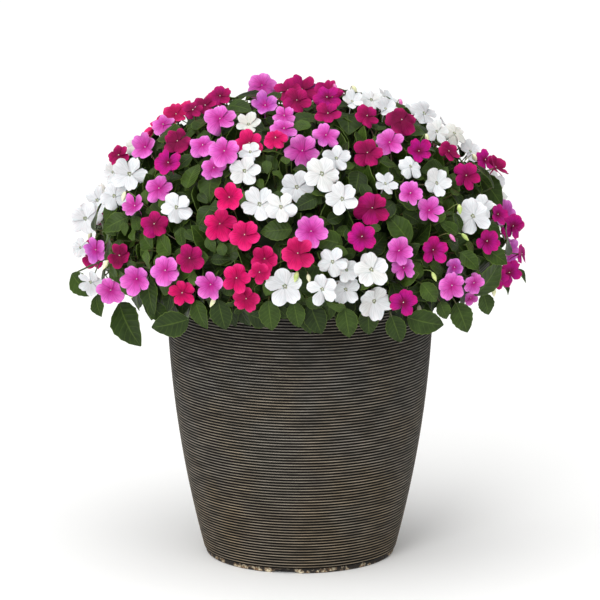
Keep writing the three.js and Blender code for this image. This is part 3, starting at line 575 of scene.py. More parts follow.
def leaf_finish(name, dark, fresh, shade_of_veins):
    """Waxy leaf: half-gloss green, quilted between pale sunken veins, with a thin yellow-green margin.

    The tint runs from -1, the deepest green, over 0, full-grown, to 1, young. The deep end also serves as
    painted shade for the leaves that hang under the dome."""
    material, tree, output = new_material(name)
    place = add_node(tree, "ShaderNodeUVMap", uv_map="UVMap").outputs["UV"]
    parts = add_node(tree, "ShaderNodeSeparateXYZ", {0: place}).outputs
    tint = add_node(tree, "ShaderNodeAttribute", attribute_name="tint").outputs["Fac"]
    body = add_node(tree, "ShaderNodeMix", {0: tint, 6: dark, 7: fresh}, data_type="RGBA")
    depth = add_node(tree, "ShaderNodeMapRange", {0: tint, 1: -1.0, 2: 0.0, 3: 0.42, 4: 1.0})
    spot = add_node(tree, "ShaderNodeTexCoord").outputs["Object"]
    # Mottling about 12 mm across, as between older and younger parts of a blade.
    mottle = add_node(tree, "ShaderNodeTexNoise", {"Vector": spot, "Scale": 1 / (12 * MM), "Detail": 3.0})
    light = add_node(tree, "ShaderNodeMapRange", {0: mottle, 1: 0.3, 2: 0.7, 3: 0.66, 4: 1.2})
    light = add_node(tree, "ShaderNodeMath", {0: light, 1: depth}, operation="MULTIPLY")
    mottled = add_node(tree, "ShaderNodeMix", {0: 1.0, 6: body, 7: light},
                       data_type="RGBA", blend_type="MULTIPLY")
    off = add_node(tree, "ShaderNodeMath", {0: parts[0], 1: 0.5}, operation="SUBTRACT")
    off = add_node(tree, "ShaderNodeMath", {0: off}, operation="ABSOLUTE")
    # Seven pairs of side veins sweep forward from the midrib.
    sweep = add_node(tree, "ShaderNodeMath", {0: off, 1: -3.2, 2: 0.0}, operation="MULTIPLY_ADD")
    pairs = add_node(tree, "ShaderNodeMath", {0: parts[1], 1: 7.5, 2: sweep}, operation="MULTIPLY_ADD")
    saw = add_node(tree, "ShaderNodeMath", {0: pairs, 1: 0.5}, operation="PINGPONG")
    side_vein = add_node(tree, "ShaderNodeMapRange", {0: saw, 1: 0.0, 2: 0.10, 3: 0.5, 4: 0.0},
                         interpolation_type="SMOOTHSTEP")
    midrib = add_node(tree, "ShaderNodeMapRange", {0: off, 1: 0.0, 2: 0.045, 3: 1.0, 4: 0.0},
                      interpolation_type="SMOOTHSTEP")
    margin = add_node(tree, "ShaderNodeMapRange", {0: off, 1: 0.46, 2: 0.5, 3: 0.0, 4: 0.5})
    veins = add_node(tree, "ShaderNodeMath", {0: side_vein, 1: midrib}, operation="MAXIMUM")
    faint = add_node(tree, "ShaderNodeMath", {0: veins, 1: shade_of_veins}, operation="MULTIPLY")
    lines = add_node(tree, "ShaderNodeMath", {0: faint, 1: margin}, operation="MAXIMUM")
    lines = add_node(tree, "ShaderNodeMath", {0: lines, 1: depth}, operation="MULTIPLY")
    colour = add_node(tree, "ShaderNodeMix", {0: lines, 6: mottled, 7: linear("#6d8636")},
                      data_type="RGBA")
    quilt = add_node(tree, "ShaderNodeMapRange", {0: saw, 1: 0.0, 2: 0.5, 3: 0.0, 4: 1.0},
                     interpolation_type="SMOOTHSTEP")
    relief = add_node(tree, "ShaderNodeMath", {0: quilt, 1: midrib}, operation="SUBTRACT")
    bump = add_node(tree, "ShaderNodeBump", {"Height": relief, "Strength": 0.4, "Distance": 0.5 * MM})
    finish_material(tree, output, {
        "Base Color": colour, "Roughness": 0.42, "IOR": 1.4, "Specular IOR Level": 0.22,
        "Normal": bump})
    return material


def stem_finish(name, base, blush):
    """Fleshy stem: smooth, watery green with a blush of red in patches."""
    material, tree, output = new_material(name)
    spot = add_node(tree, "ShaderNodeTexCoord").outputs["Object"]
    patches = add_node(tree, "ShaderNodeTexNoise", {"Vector": spot, "Scale": 1 / (9 * MM), "Detail": 2.0})
    share = add_node(tree, "ShaderNodeMapRange", {0: patches, 1: 0.4, 2: 0.65, 3: 0.0, 4: 0.8})
    colour = add_node(tree, "ShaderNodeMix", {0: share, 6: linear(base), 7: linear(blush)},
                      data_type="RGBA")
    bump = add_node(tree, "ShaderNodeBump", {"Height": patches, "Strength": 0.2, "Distance": 0.4 * MM})
    finish_material(tree, output, {
        "Base Color": colour, "Roughness": 0.38, "IOR": 1.4, "Normal": bump,
        "Subsurface Weight": 0.1, "Subsurface Radius": (0.6, 1.0, 0.4), "Subsurface Scale": 3 * MM})
    return material


def resin_finish(name, groove, crest):
    """Moulded resin: dark and matt in the grooves, rubbed with bronze that has worn off in short dashes."""
    material, tree, output = new_material(name)
    spot = add_node(tree, "ShaderNodeTexCoord").outputs["Object"]
    height = add_node(tree, "ShaderNodeAttribute", attribute_name="tint").outputs["Fac"]
    ridge = add_node(tree, "ShaderNodeMapRange", {0: height, 1: 0.25, 2: 0.85, 3: 0.0, 4: 1.0},
                     interpolation_type="SMOOTHSTEP")
    # Dashes about 30 mm long and one rib high.
    stretched = add_node(tree, "ShaderNodeMapping", {"Vector": spot, "Scale": (34, 34, 270)})
    dashes = add_node(tree, "ShaderNodeTexNoise", {"Vector": stretched, "Scale": 1.0, "Detail": 4.0})
    worn = add_node(tree, "ShaderNodeMapRange", {0: dashes, 1: 0.34, 2: 0.66, 3: 0.45, 4: 1.0})
    share = add_node(tree, "ShaderNodeMath", {0: ridge, 1: worn}, operation="MULTIPLY")
    clouds = add_node(tree, "ShaderNodeTexNoise", {"Vector": spot, "Scale": 1 / (55 * MM), "Detail": 3.0})
    warm = add_node(tree, "ShaderNodeMapRange", {0: clouds, 1: 0.42, 2: 0.72, 3: 0.0, 4: 0.5})
    # The bronze is left on more thickly towards the foot.
    height_parts = add_node(tree, "ShaderNodeSeparateXYZ", {0: spot}).outputs
    low = add_node(tree, "ShaderNodeMapRange", {0: height_parts[2], 1: 0.0, 2: 0.24, 3: 0.5, 4: 0.0})
    warm = add_node(tree, "ShaderNodeMath", {0: warm, 1: low}, operation="ADD", use_clamp=True)
    bronze = add_node(tree, "ShaderNodeMix", {0: warm, 6: crest, 7: linear("#a08d70")}, data_type="RGBA")
    colour = add_node(tree, "ShaderNodeMix", {0: share, 6: groove, 7: bronze},
                      data_type="RGBA")
    grain = add_node(tree, "ShaderNodeTexNoise", {"Vector": spot, "Scale": 1 / (1.2 * MM), "Detail": 2.0})
    bump = add_node(tree, "ShaderNodeBump", {"Height": grain, "Strength": 0.3, "Distance": 0.3 * MM})
    finish_material(tree, output, {
        "Base Color": colour, "Roughness": 0.6, "IOR": 1.5, "Specular IOR Level": 0.06,
        "Normal": bump})
    return material


def foot_finish(name, resin):
    """Chipped resin: the foot's edge has lost its dark skin in small flakes that show tan and cream."""
    material, tree, output = new_material(name)
    spot = add_node(tree, "ShaderNodeTexCoord").outputs["Object"]
    edge = add_node(tree, "ShaderNodeAttribute", attribute_name="tint").outputs["Fac"]
    flakes = add_node(tree, "ShaderNodeTexNoise", {"Vector": spot, "Scale": 1 / (7 * MM), "Detail": 4.0})
    lost = add_node(tree, "ShaderNodeMapRange", {0: flakes, 1: 0.47, 2: 0.55, 3: 0.0, 4: 1.0})
    flaked = add_node(tree, "ShaderNodeMath", {0: lost, 1: edge}, operation="MULTIPLY")
    corner = add_node(tree, "ShaderNodeMapRange", {0: edge, 1: 1.2, 2: 1.6, 3: 0.0, 4: 1.0})
    share = add_node(tree, "ShaderNodeMath", {0: flaked, 1: corner}, operation="MAXIMUM")
    tones = add_node(tree, "ShaderNodeTexNoise", {"Vector": spot, "Scale": 1 / (3 * MM), "Detail": 2.0})
    pale = add_node(tree, "ShaderNodeMapRange", {0: tones, 1: 0.45, 2: 0.62, 3: 0.0, 4: 1.0})
    pale = add_node(tree, "ShaderNodeMath", {0: pale, 1: corner}, operation="MAXIMUM")
    under = add_node(tree, "ShaderNodeMix", {0: pale, 6: linear("#7f6347"), 7: linear("#d6caae")},
                     data_type="RGBA")
    colour = add_node(tree, "ShaderNodeMix", {0: share, 6: resin, 7: under},
                      data_type="RGBA")
    bump = add_node(tree, "ShaderNodeBump", {"Height": lost, "Strength": 0.6, "Distance": 0.5 * MM})
    finish_material(tree, output, {
        "Base Color": colour, "Roughness": 0.7, "IOR": 1.5, "Specular IOR Level": 0.3,
        "Normal": bump})
    return material


def soil_finish(name):
    """Damp potting mix: near-black peat crumbs with paler fibres, rough all over."""
    material, tree, output = new_material(name)
    spot = add_node(tree, "ShaderNodeTexCoord").outputs["Object"]
    crumbs = add_node(tree, "ShaderNodeTexVoronoi", {"Vector": spot, "Scale": 1 / (4 * MM)})
    clods = add_node(tree, "ShaderNodeTexNoise", {"Vector": spot, "Scale": 1 / (15 * MM), "Detail": 5.0})
    share = add_node(tree, "ShaderNodeMath", {0: crumbs.outputs["Distance"], 1: clods},
                     operation="MULTIPLY")
    colour = add_node(tree, "ShaderNodeMix", {0: share, 6: linear("#17100b"), 7: linear("#4a3525")},
                      data_type="RGBA")
    bump = add_node(tree, "ShaderNodeBump", {"Height": share, "Strength": 0.8, "Distance": 1.5 * MM})
    finish_material(tree, output, {
        "Base Color": colour, "Roughness": 0.92, "Normal": bump})
    return material


def backdrop_finish(name, colour):
    """Matt white studio paper, with a grain too faint to see as more than softness."""
    material, tree, output = new_material(name)
    spot = add_node(tree, "ShaderNodeTexCoord").outputs["Object"]
    grain = add_node(tree, "ShaderNodeTexNoise", {"Vector": spot, "Scale": 3.0, "Detail": 2.0})
    shade = add_node(tree, "ShaderNodeMapRange", {0: grain, 3: 0.985, 4: 1.0})
    paper = add_node(tree, "ShaderNodeMix", {0: 1.0, 6: colour, 7: shade},
                     data_type="RGBA", blend_type="MULTIPLY")
    finish_material(tree, output, {"Base Color": paper, "Roughness": 0.9})
    return material


# ---------------------------------------------------------------- pot and soil

POT_HEIGHT = 355 * MM
RIM_RADIUS = 166 * MM
FLARE = 47 * MM
WALL = 6.5 * MM
FOOT_RADIUS = 117.5 * MM
FOOT_HEIGHT = 6.5 * MM
FLOOR_HEIGHT = 7 * MM
LIP_HEIGHT = 5 * MM
POT_SEGMENTS = 96
FOOT_GAPS = 3
FOOT_GAP_WIDTH = 34 * MM
FOOT_GAP_DEPTH = 2.5 * MM
FOOT_GAP_RISE = 1.9 * MM
FIRST_GAP = -98.6 * RAD
CHIPPED_CORNER = 8 * MM          # how far the resin is chipped to each side of a gap
FOOT_EDGE = 3 * MM               # how much of the underside goes with the foot's edge
STILL_FOOT = 12 * MM             # the underside lies flat and still further in than this
WALL_STATIONS = (0.06, 0.15, 0.25)  # heights at which the inner wall has its rings, in metres


def wall_radius(z):
    """The pot's outer radius at a height, over the crests of its ribs."""
    return RIM_RADIUS - FLARE * (1 - z / POT_HEIGHT) ** 2


def pot_profile(pitch, depth):
    """The pot's section from the middle of its foot to the middle of its floor: (radius, height, crest)."""
    profile = [(0, 0, 0), (FOOT_RADIUS - STILL_FOOT, 0, 0), (FOOT_RADIUS - 1.5 * MM, 0, 0)]
    profile += [(FOOT_RADIUS, 1.2 * MM, 1), (FOOT_RADIUS, FOOT_HEIGHT, 0.4)]
    ribs = int((POT_HEIGHT - LIP_HEIGHT - FOOT_HEIGHT) / pitch)
    for rib in range(ribs):
        z = FOOT_HEIGHT + rib * pitch
        profile.append((wall_radius(z) - depth, z + 0.05 * pitch, 0))
        profile.append((wall_radius(z) - 0.8 * depth, z + 0.42 * pitch, 0))
        profile.append((wall_radius(z), z + 0.68 * pitch, 1))
    lip = POT_HEIGHT - LIP_HEIGHT
    profile += [(wall_radius(lip) - depth, lip, 0), (RIM_RADIUS - 0.4 * MM, lip + 1 * MM, 0.8)]
    profile += [(RIM_RADIUS, lip + 3 * MM, 0.8), (RIM_RADIUS - 1.5 * MM, POT_HEIGHT, 1)]
    inside = RIM_RADIUS - WALL
    profile += [(inside + 1 * MM, POT_HEIGHT, 0.6), (inside, POT_HEIGHT - 1.5 * MM, 0.2)]
    for z in reversed(WALL_STATIONS):
        profile.append((wall_radius(z) - WALL, z, 0))
    return profile + [(wall_radius(FLOOR_HEIGHT) - WALL, FLOOR_HEIGHT, 0), (0, FLOOR_HEIGHT, 0)]


def spun(name, profile, segments, finish):
    """A closed solid of revolution from a section that starts and ends on the axis."""
    start_piece()
    mesh = bpy.data.meshes.new(name)
    edges = [(i, i + 1) for i in range(len(profile) - 1)]
    mesh.from_pydata([(row[0], 0, row[1]) for row in profile], edges, [])
    crest = mesh.attributes.new("tint", "FLOAT", "POINT")
    crest.data.foreach_set("value", [row[2] for row in profile])
    piece = bpy.data.objects.new(name, mesh)
    bpy.context.scene.collection.objects.link(piece)
    bpy.context.view_layer.objects.active = piece
    piece.select_set(True)
    bpy.ops.object.mode_set(mode="EDIT")
    bpy.ops.mesh.select_all(action="SELECT")
    bpy.ops.mesh.spin(steps=segments, angle=2 * math.pi, center=(0, 0, 0), axis=(0, 0, 1))
    bpy.ops.mesh.select_all(action="SELECT")
    bpy.ops.mesh.remove_doubles(threshold=0.01 * MM)
    bpy.ops.mesh.normals_make_consistent(inside=False)
    bpy.ops.object.mode_set(mode="OBJECT")
    mesh.materials.append(finish)
    bpy.ops.object.shade_smooth_by_angle(angle=40 * RAD)
    return piece


def press_foot_gaps(piece):
    """Presses the water gaps into the foot, where its edge steps in and up. The gaps' corners are chipped."""
    chips = piece.data.attributes["tint"].data
    for vertex in piece.data.vertices:
        out = math.hypot(vertex.co.x, vertex.co.y)
        if vertex.co.z > FOOT_HEIGHT - 1 * MM or out < FOOT_RADIUS - FOOT_EDGE:
            continue
        turn = math.atan2(vertex.co.y, vertex.co.x) - FIRST_GAP
        off = (turn + math.pi / FOOT_GAPS) % (2 * math.pi / FOOT_GAPS) - math.pi / FOOT_GAPS
        if abs(off) * FOOT_RADIUS < FOOT_GAP_WIDTH / 2:
            vertex.co.x *= 1 - FOOT_GAP_DEPTH / out
            vertex.co.y *= 1 - FOOT_GAP_DEPTH / out
            vertex.co.z += FOOT_GAP_RISE
            chips[vertex.index].value = 0
        elif abs(off) * FOOT_RADIUS < FOOT_GAP_WIDTH / 2 + CHIPPED_CORNER:
            chips[vertex.index].value = 2


class BusyLizziePot(bpy.types.Operator):
    """Spins the finely ribbed resin pot and presses the water gaps into its foot"""

    bl_idname = "busy_lizzie.pot"
    bl_label = "Ribbed Pot"

    def execute(self, context):
        settings = context.scene.lizzie_pot
        finish = resin_finish("moulded_resin_bronze", rgba(settings.resin), rgba(settings.crest))
        profile = pot_profile(settings.rib_pitch, settings.rib_depth)
        piece = spun("ribbed_pot", profile, POT_SEGMENTS, finish)
        piece.data.materials.append(foot_finish("chipped_resin_foot", linear("#2a2521")))
        for face in piece.data.polygons:
            middle = face.center
            if middle.z < FOOT_HEIGHT - 0.5 * MM and math.hypot(middle.x, middle.y) > FOOT_RADIUS - FOOT_EDGE:
                face.material_index = 1
        press_foot_gaps(piece)
        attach(piece, "root")
        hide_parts("pot")
        return {"FINISHED"}


SOIL_TOP = 330 * MM
SOIL_CROWN = 5 * MM
SOIL_SEGMENTS = 64
SOIL_RINGS = 16
SOIL_ROUGHNESS = 2 * MM
SEAT = 0.35 * MM                 # the soil stays this far off the pot


class BusyLizzieSoil(bpy.types.Operator):
    """Fills the pot with crumbly soil"""

    bl_idname = "busy_lizzie.soil"
    bl_label = "Potting Soil"

    def execute(self, context):
        floor = FLOOR_HEIGHT + SEAT
        heights = (floor, *WALL_STATIONS, SOIL_TOP - 2 * MM)
        sides = [(wall_radius(z) - WALL - 2 * SEAT, z, 0) for z in heights]
        edge = sides[-1][0]
        shares = [ring / SOIL_RINGS for ring in range(1, SOIL_RINGS + 1)]
        rings = [(edge * (1 - share), SOIL_TOP + SOIL_CROWN * share, 1) for share in shares]
        profile = [(0, floor, 0), *sides, *rings]
        piece = spun("potting_mix", profile, SOIL_SEGMENTS, soil_finish("damp_potting_mix"))
        for vertex in piece.data.vertices:
            if vertex.co.z > SOIL_TOP - 1 * MM:
                crumbs = noise.noise(vertex.co / (9 * MM)) + 0.6 * noise.noise(vertex.co / (4 * MM))
                vertex.co.z -= SOIL_ROUGHNESS * (1 + crumbs)
        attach(piece, "root")
        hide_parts("potting_soil")
        return {"FINISHED"}


# ---------------------------------------------------------------- blooms

PETAL_WIDTH = 0.44               # half a petal's width, as a share of the bloom's radius
PETAL_ROUNDING = 0.44            # how far its end falls back at the sides, as a share of the same
PETAL_ARC = 76 * RAD             # the rounded end of a petal turns this far to each side of its tip
BROADEST = 0.72                  # where along its length a petal is broadest
NOTCH_WIDTH = 0.3                # as a share of the petal's half width, as is the crease's
CREASE_WIDTH = 0.22
CREASE_DEPTH = 0.035
WAVES = 4.2                      # how fast a petal's end waves from side to side
PETAL_LAYERS = (0, 2, 4, 1, 3)   # how high each petal lies among its neighbours
PETAL_STEP = 0.026               # from one such layer to the next, as a share of the bloom's radius
# Flat, cupped and bent-back blooms: the range of a petal's lift, and how many in a hundred have it.
PETAL_LIFTS = [(-0.07, 0.10), (0.15, 0.34), (-0.24, -0.12)]
LIFT_SHARES = [66, 22, 12]
COLUMN_SIZE = np.array([0.65, 0.75, 1.1])    # the pale column in a bloom's eye, in millimetres
COLUMN_PLACE = np.array([0, 0.3, -1.2])
NECK = 12 * MM                   # how far a stalk runs straight at each end
STALK_RADIUS = 0.75 * MM
FORK_RADIUS = 1.3 * MM

# Sprays hold sister blooms whose colour differs a little: 0 is the usual one, 1 the other.
# Places are (across, up) on the front plan, in millimetres.
OTHER_TINTS = {
    "cranberry": [(-166, 484), (34, 569), (150, 500), (78, 391), (168, 375), (130, 308), (236, 386),
                  (269, 405), (250, 420), (264, 346), (249, 339), (280, 370)],
    "rose": [(-68, 313), (-3, 370), (-51, 346)],
    "pink": [(-258, 375), (-44, 558), (195, 353)],
    "white": [(-65, 534)],
}
DEEP_TINTS = {"cranberry": [(-155, 514), (127, 536), (-225, 370)]}
TINT_REACH = 7                   # how near a bloom lies to such a place, in millimetres
DEEP_REACH = 9
FRONT_DEPTH = 20 * MM            # blooms further back than this have their tints drawn

# Blooms that face further than TURN_START from the eye are turned towards it, by TURN_LIMIT at most. Those
# past TURN_END are seen only from behind, and keep their facing.
TURN_LIMIT = 25 * RAD
TURN_START = 34 * RAD
TURN_END = 116 * RAD


def turned_to_front(facing):
    """A bloom's facing at the dome's edge, with the bloom's neck bent a little to the front light."""
    off = facing.angle(EYE_BACK)
    if not TURN_START < off < TURN_END:
        return facing
    turn = Matrix.Rotation(min(TURN_LIMIT, off - TURN_START), 3, facing.cross(EYE_BACK))
    return turn @ facing


def petal_points(sheet, radius, form, settings, draw):
    """One petal of a bloom that faces +z, along +y: a narrow foot, round shoulders and a shallow notch.

    The form holds the petal's lift, its length's share of the radius and its width's of the usual one."""
    s, t, h = sheet.points.T
    arc = s * PETAL_ARC
    s = np.sin(arc) / math.sin(PETAL_ARC)
    length = radius * form["length"] * draw.uniform(0.93, 1.03)
    width = radius * PETAL_WIDTH * form["width"] * draw.uniform(0.88, 1.1)
    swell = 0.26 + 0.74 * np.sin(0.5 * np.pi * np.clip(t / BROADEST, 0, 1)) ** 1.5
    swell *= 1 - 0.08 * np.clip((t - BROADEST) / (1 - BROADEST), 0, 1) ** 2
    x = width * swell * s
    drop = PETAL_ROUNDING * (1 - np.cos(arc))
    drop += settings.notch * draw.uniform(0.0, 1.1) * np.exp(-(s / NOTCH_WIDTH) ** 2)
    y = 0.04 * radius + 0.96 * length * t - radius * drop * t ** 2.5
    curl = draw.uniform(-0.24, 0.05)
    z = -0.10 * (1 - t) ** 2 + form["lift"] * t ** 1.6 + curl * s * s * t + draw.uniform(-0.13, 0.13) * s * t
    z -= CREASE_DEPTH * np.exp(-(s / CREASE_WIDTH) ** 2) * np.sqrt(t)
    z += draw.uniform(0.015, 0.06) * np.sin(WAVES * s + draw.uniform(0, 2 * math.pi)) * t ** 2.5
    return np.stack([x, y, radius * z + settings.thickness * (h + 0.5)], axis=1)


def bloom_pieces(pile, kit, bloom, colour, settings, draw):
    """Adds one bloom: petals, eye, spur and stalk."""
    facing, radius = turned_to_front(bloom["facing"]), bloom["radius"]
    u, v = across_of(facing)
    turned = np.array([u, v, facing])
    centre = np.array(bloom["centre"])
    tint = bloom["tint"]
    lift = draw.choices([draw.uniform(*span) for span in PETAL_LIFTS], LIFT_SHARES)[0]
    slant = draw.uniform(0.05, 0.20)
    fullness = draw.uniform(0.9, 1.03) * (0.95 if colour == "white" else 1.0)
    deepest = 0.2 if colour == "white" else 0.45
    for petal in range(PETALS):
        angle = bloom["spin"] + petal * 2 * math.pi / PETALS - math.pi / 2 + draw.uniform(-0.11, 0.11)
        way = v * math.cos(angle) - u * math.sin(angle)
        form = {"lift": lift + draw.uniform(-0.12, 0.12), "length": 0.98 - 0.05 * way.z, "width": fullness}
        points = petal_points(kit["petal"], radius, form, settings, draw)
        points[:, 2] += slant * points[:, 0] + PETAL_STEP * radius * (PETAL_LAYERS[petal] - 2)
        c, s = math.cos(angle), math.sin(angle)
        spun_points = np.stack([c * points[:, 0] - s * points[:, 1], s * points[:, 0] + c * points[:, 1],
                                points[:, 2]], axis=1)
        petal_tint = min(1, max(-1, tint + draw.uniform(-deepest, 0.28)))
        pile.add(kit["petal"], centre + spun_points @ turned, "petal", petal_tint)
    eye = kit["ball"].points * COLUMN_SIZE * MM + COLUMN_PLACE * MM
    pile.add(kit["ball"], centre + eye @ turned, "eye", tint)
    back = bloom["centre"] - facing * DISH
    sag = (-facing - 0.6 * UP).normalized()
    tip = back + sag * settings.spur
    spur = bezier(back + facing * 0.5 * MM, back - facing * 0.3 * settings.spur,
                  tip - facing * 0.25 * settings.spur + UP * 2 * MM, tip, kit["rod_rows"])
    shares = [i / kit["rod_rows"] for i in range(kit["rod_rows"] + 1)]
    pile.add_rod(kit, spur, [MM * (1.1 * (1 - s) ** 2 + 0.35) for s in shares], "spur", tint)
    fork, root_out = bloom["fork"], bloom["root_out"]
    stalk = bezier(back, back - facing * NECK, fork + root_out * NECK, fork, kit["rod_rows"])
    radii = [STALK_RADIUS * (1.25 - 0.35 * math.sin(math.pi * s)) for s in shares]
    pile.add_rod(kit, stalk, radii, "stalk", tint)


def fork_stem(pile, kit, bloom):
    """The shared stem that a spray's stalks come from, sunk among the plant's stems."""
    fork, out = bloom["fork"], bloom["root_out"]
    root = fork - out * (FORK_RISE + ROOT_DEPTH)
    path = [fork.lerp(root, i / kit["rod_rows"]) + out * (1.5 * MM if i == 0 else 0)
            for i in range(kit["rod_rows"] + 1)]
    pile.add_rod(kit, path, [FORK_RADIUS] * len(path), "stalk", 0)


def nearest_tint(bloom, colour, draw):
    """A bloom's tint: 1 at the places of the other colour, near -1 at the deep ones, else drawn."""
    if bloom["centre"].y > FRONT_DEPTH:
        return 1.0 if draw.random() < 0.3 else draw.uniform(-0.5, 0.35)
    across, up = plan_place(bloom["centre"])
    for x, y in DEEP_TINTS.get(colour, []):
        if math.hypot(across - x, up - y) < DEEP_REACH:
            return -0.9
    for x, y in OTHER_TINTS[colour]:
        if math.hypot(across - x, up - y) < TINT_REACH:
            return 1.0
    return draw.uniform(-0.3, 0.3)


# A living petal's usual colour, its sister's, its eye and its paler rim, partly a painted highlight, how far
# the eye reaches along a petal, and how dark the streaks are: 1 is none.
PETAL_FINISHES = {
    "white": ("living_petal_white", "#e2e3e6", "#d9d7cf", "#757c58", "#ebebee", 0.15, 0.78),
    "pink": ("living_petal_orchid", "#e05cc0", "#bc54b6", "#a61a7a", "#f8a2ee", 0.64, 0.62),
    "rose": ("living_petal_rose", "#dc0e68", "#b40c54", "#900a42", "#f53c8c", 0.62, 0.62),
    "cranberry": ("living_petal_cranberry", "#a00a56", "#b41284", "#6a0634", "#c81c74", 0.64, 0.60),
}


class BusyLizzieBlooms(bpy.types.Operator):
    """Gives each spray its blooms: five notched petals, an eye, a spur and a stalk each"""

    bl_idname = "busy_lizzie.blooms"
    bl_label = "Blooms"

    def execute(self, context):
        settings = context.scene.lizzie_blooms
        kit = {"petal": slab(8, 4), "ball": ball(6, 4), "rod": rod(5, 6), "rod_rows": 6}
        petals = {colour: petal_finish(*finish) for colour, finish in PETAL_FINISHES.items()}
        stalk = stem_finish("fleshy_stalk", "#506430", "#6c4046")
        eye = stem_finish("eye_column", "#e8efc8", "#f6f6ee")
        for node in SPRAYS:
            colour = node.split("_")[1]
            draw = random.Random(f"{SEED} {node}")
            blooms = read_blooms(node)
            if not blooms:
                raise RuntimeError(f"no bloom was found in {node}")
            pile = Pile()
            for bloom in blooms:
                bloom["tint"] = nearest_tint(bloom, colour, draw)
                bloom_pieces(pile, kit, bloom, colour, settings, draw)
            fork_stem(pile, kit, blooms[0])
            finishes = {"petal": petals[colour], "stalk": stalk, "eye": eye, "spur": petals[colour]}
            piece = pile.make(node.replace("blooms", "spray"), finishes)
            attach(piece, "root")
            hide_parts(node)
        return {"FINISHED"}


# ---------------------------------------------------------------- leaves

LEAF_COLUMNS = 6
LEAF_ROWS = 12
SCALLOP = 0.035                  # depth of an edge's scallops, as a share of the blade's half width
BLADE_THICKNESS = 0.7 * MM
SKIRT_FOOT = 323 * MM            # no leaf over the pot's lip hangs lower than this
CROWD_STEP = {"blade": 3, "small": 2}  # one in so many of a leaf's points stands for it in the crowd

# Leaves that fill the dome's edge at the front: base (across, up) on the front plan in millimetres, the
# way the blade runs there in degrees above level to the right, and its length in millimetres.
EDGE_LEAVES = [
    (222, 470, -47, 50), (230, 377, -30, 36), (202, 372, -42, 30), (-216, 416, -155, 36),
    (-236, 356, -60, 28), (-226, 388, -100, 30), (236, 410, -70, 34), (-232, 436, -120, 28),
]


def half_width(share):
    """A blade's half width along its length, as a share of its length: oval, widest before the middle."""
    return LEAF_SLIMNESS * (np.sin(np.pi * np.clip(share, 0.004, 0.997) ** 0.8) ** 0.8 + 0.02)


def blade_points(sheet, leaf, draw):
    """A leaf's blade: folded along its midrib, drooping to a pointed tip, with a scalloped, wavy edge."""
    s, t, h = sheet.points.T
    length = leaf["length"]
    scallops = 1 + SCALLOP * np.cos(np.pi * t * LEAF_ROWS) * np.abs(s) ** 4
    half = length * half_width(t) * scallops
    droop = length * LEAF_DROOP * (0.3 * t - 1.3 * t * t)
    wave = draw.uniform(0.8, 1.8) * MM
    phase = draw.uniform(0, 2 * math.pi)
    rise = LEAF_FOLD * np.abs(s) * half * (1.15 - 0.3 * np.abs(s))
    rise += wave * np.sin(9 * t + phase + 1.5 * np.sign(s)) * np.abs(s) ** 2 * np.sin(np.pi * t)
    rise += BLADE_THICKNESS * (h + 0.3)
    base, out, run, side = (np.array(leaf[key]) for key in ("base", "out", "run", "side"))
    normal = np.cross(run, side)
    return (base + droop[:, None] * out + (length * t)[:, None] * run + (s * half)[:, None] * side
            + rise[:, None] * normal)


def faced_out(leaf):
    """The same leaf, from the same base to the same tip, with its face turned further to the front."""
    tip = leaf["base"] + (leaf["run"] - leaf["out"] * LEAF_DROOP) * leaf["length"]
    turned = leaf_between(leaf["base"], tip, (leaf["out"] + EYE_BACK * 0.6).normalized())
    turned["stalk"] = leaf["stalk"]
    return turned


def stalk_of_leaf(pile, kit, leaf):
    """The leaf's stalk, from its blade straight down among the stems, 100 mm at most."""
    foot = leaf["base"].copy()
    for _ in range(40):
        if reach(foot, CORE_LAYER) < 0.95:
            break
        foot -= leaf["stalk"] * 2.5 * MM
    start = leaf["base"] + leaf["run"] * 1.5 * MM
    bend = leaf["base"] - leaf["stalk"] * 6 * MM
    path = bezier(start, bend, foot.lerp(leaf["base"], 0.4), foot, kit["rod_rows"])
    radii = [MM * (0.9 + 0.5 * i / kit["rod_rows"]) for i in range(kit["rod_rows"] + 1)]
    pile.add_rod(kit, path, radii, "stem", 0)


def plant_at(point):
    """Which plant a place belongs to: 0 in the middle, then one for each sixth round it."""
    turn = math.atan2(point.y, point.x) % (2 * math.pi)
    sector = int(turn / (math.pi / 3)) % OUTER_PLANTS
    off = turn - (sector + 0.5) * math.pi / 3
    return 0 if math.hypot(point.x, point.y) * math.cos(off) < MIDDLE_PLOT else sector + 1


def outside_pot(points):
    """Whether every point lies above the pot or round it."""
    beside = np.hypot(points[:, 0], points[:, 1]) > RIM_RADIUS + 4 * MM
    return (beside | (points[:, 2] > POT_HEIGHT + 5 * MM)).all()


def inside_box(points, margin=1 * MM):
    """Whether every point lies in the planting's box, by a margin."""
    return (points > LOW + margin).all() and (points < HIGH - margin).all()


def shown_blooms():
    """The front's blooms: where each is seen on the plan, its radius there and its distance from the eye."""
    rows = []
    for node in SPRAYS:
        for bloom in read_blooms(node):
            centre = bloom["centre"]
            if centre.y < 60 * MM and bloom["facing"].dot(EYE_BACK) > 0.2:
                rows.append((*plan_place(centre), bloom["radius"] / MM, (centre - EYE).length))
    return np.array(rows)


def hides_bloom(points, blooms):
    """Whether a leaf would stand before a bloom of the front."""
    eye, back, up = (np.array(row) for row in (EYE, EYE_BACK, PLAN_UP))
    rays = points[::4] - eye
    hits = eye + rays * (eye.dot(back) / -(rays @ back))[:, None]
    across = hits[:, 0:1] / MM - blooms[None, :, 0]
    high = (hits @ up)[:, None] / MM - blooms[None, :, 1]
    nearer = np.linalg.norm(rays, axis=1)[:, None] < blooms[None, :, 3] - 2 * MM
    # A leaf may still reach over the outer fifth of a bloom.
    return ((np.hypot(across, high) < 0.8 * blooms[None, :, 2]) & nearer).any()


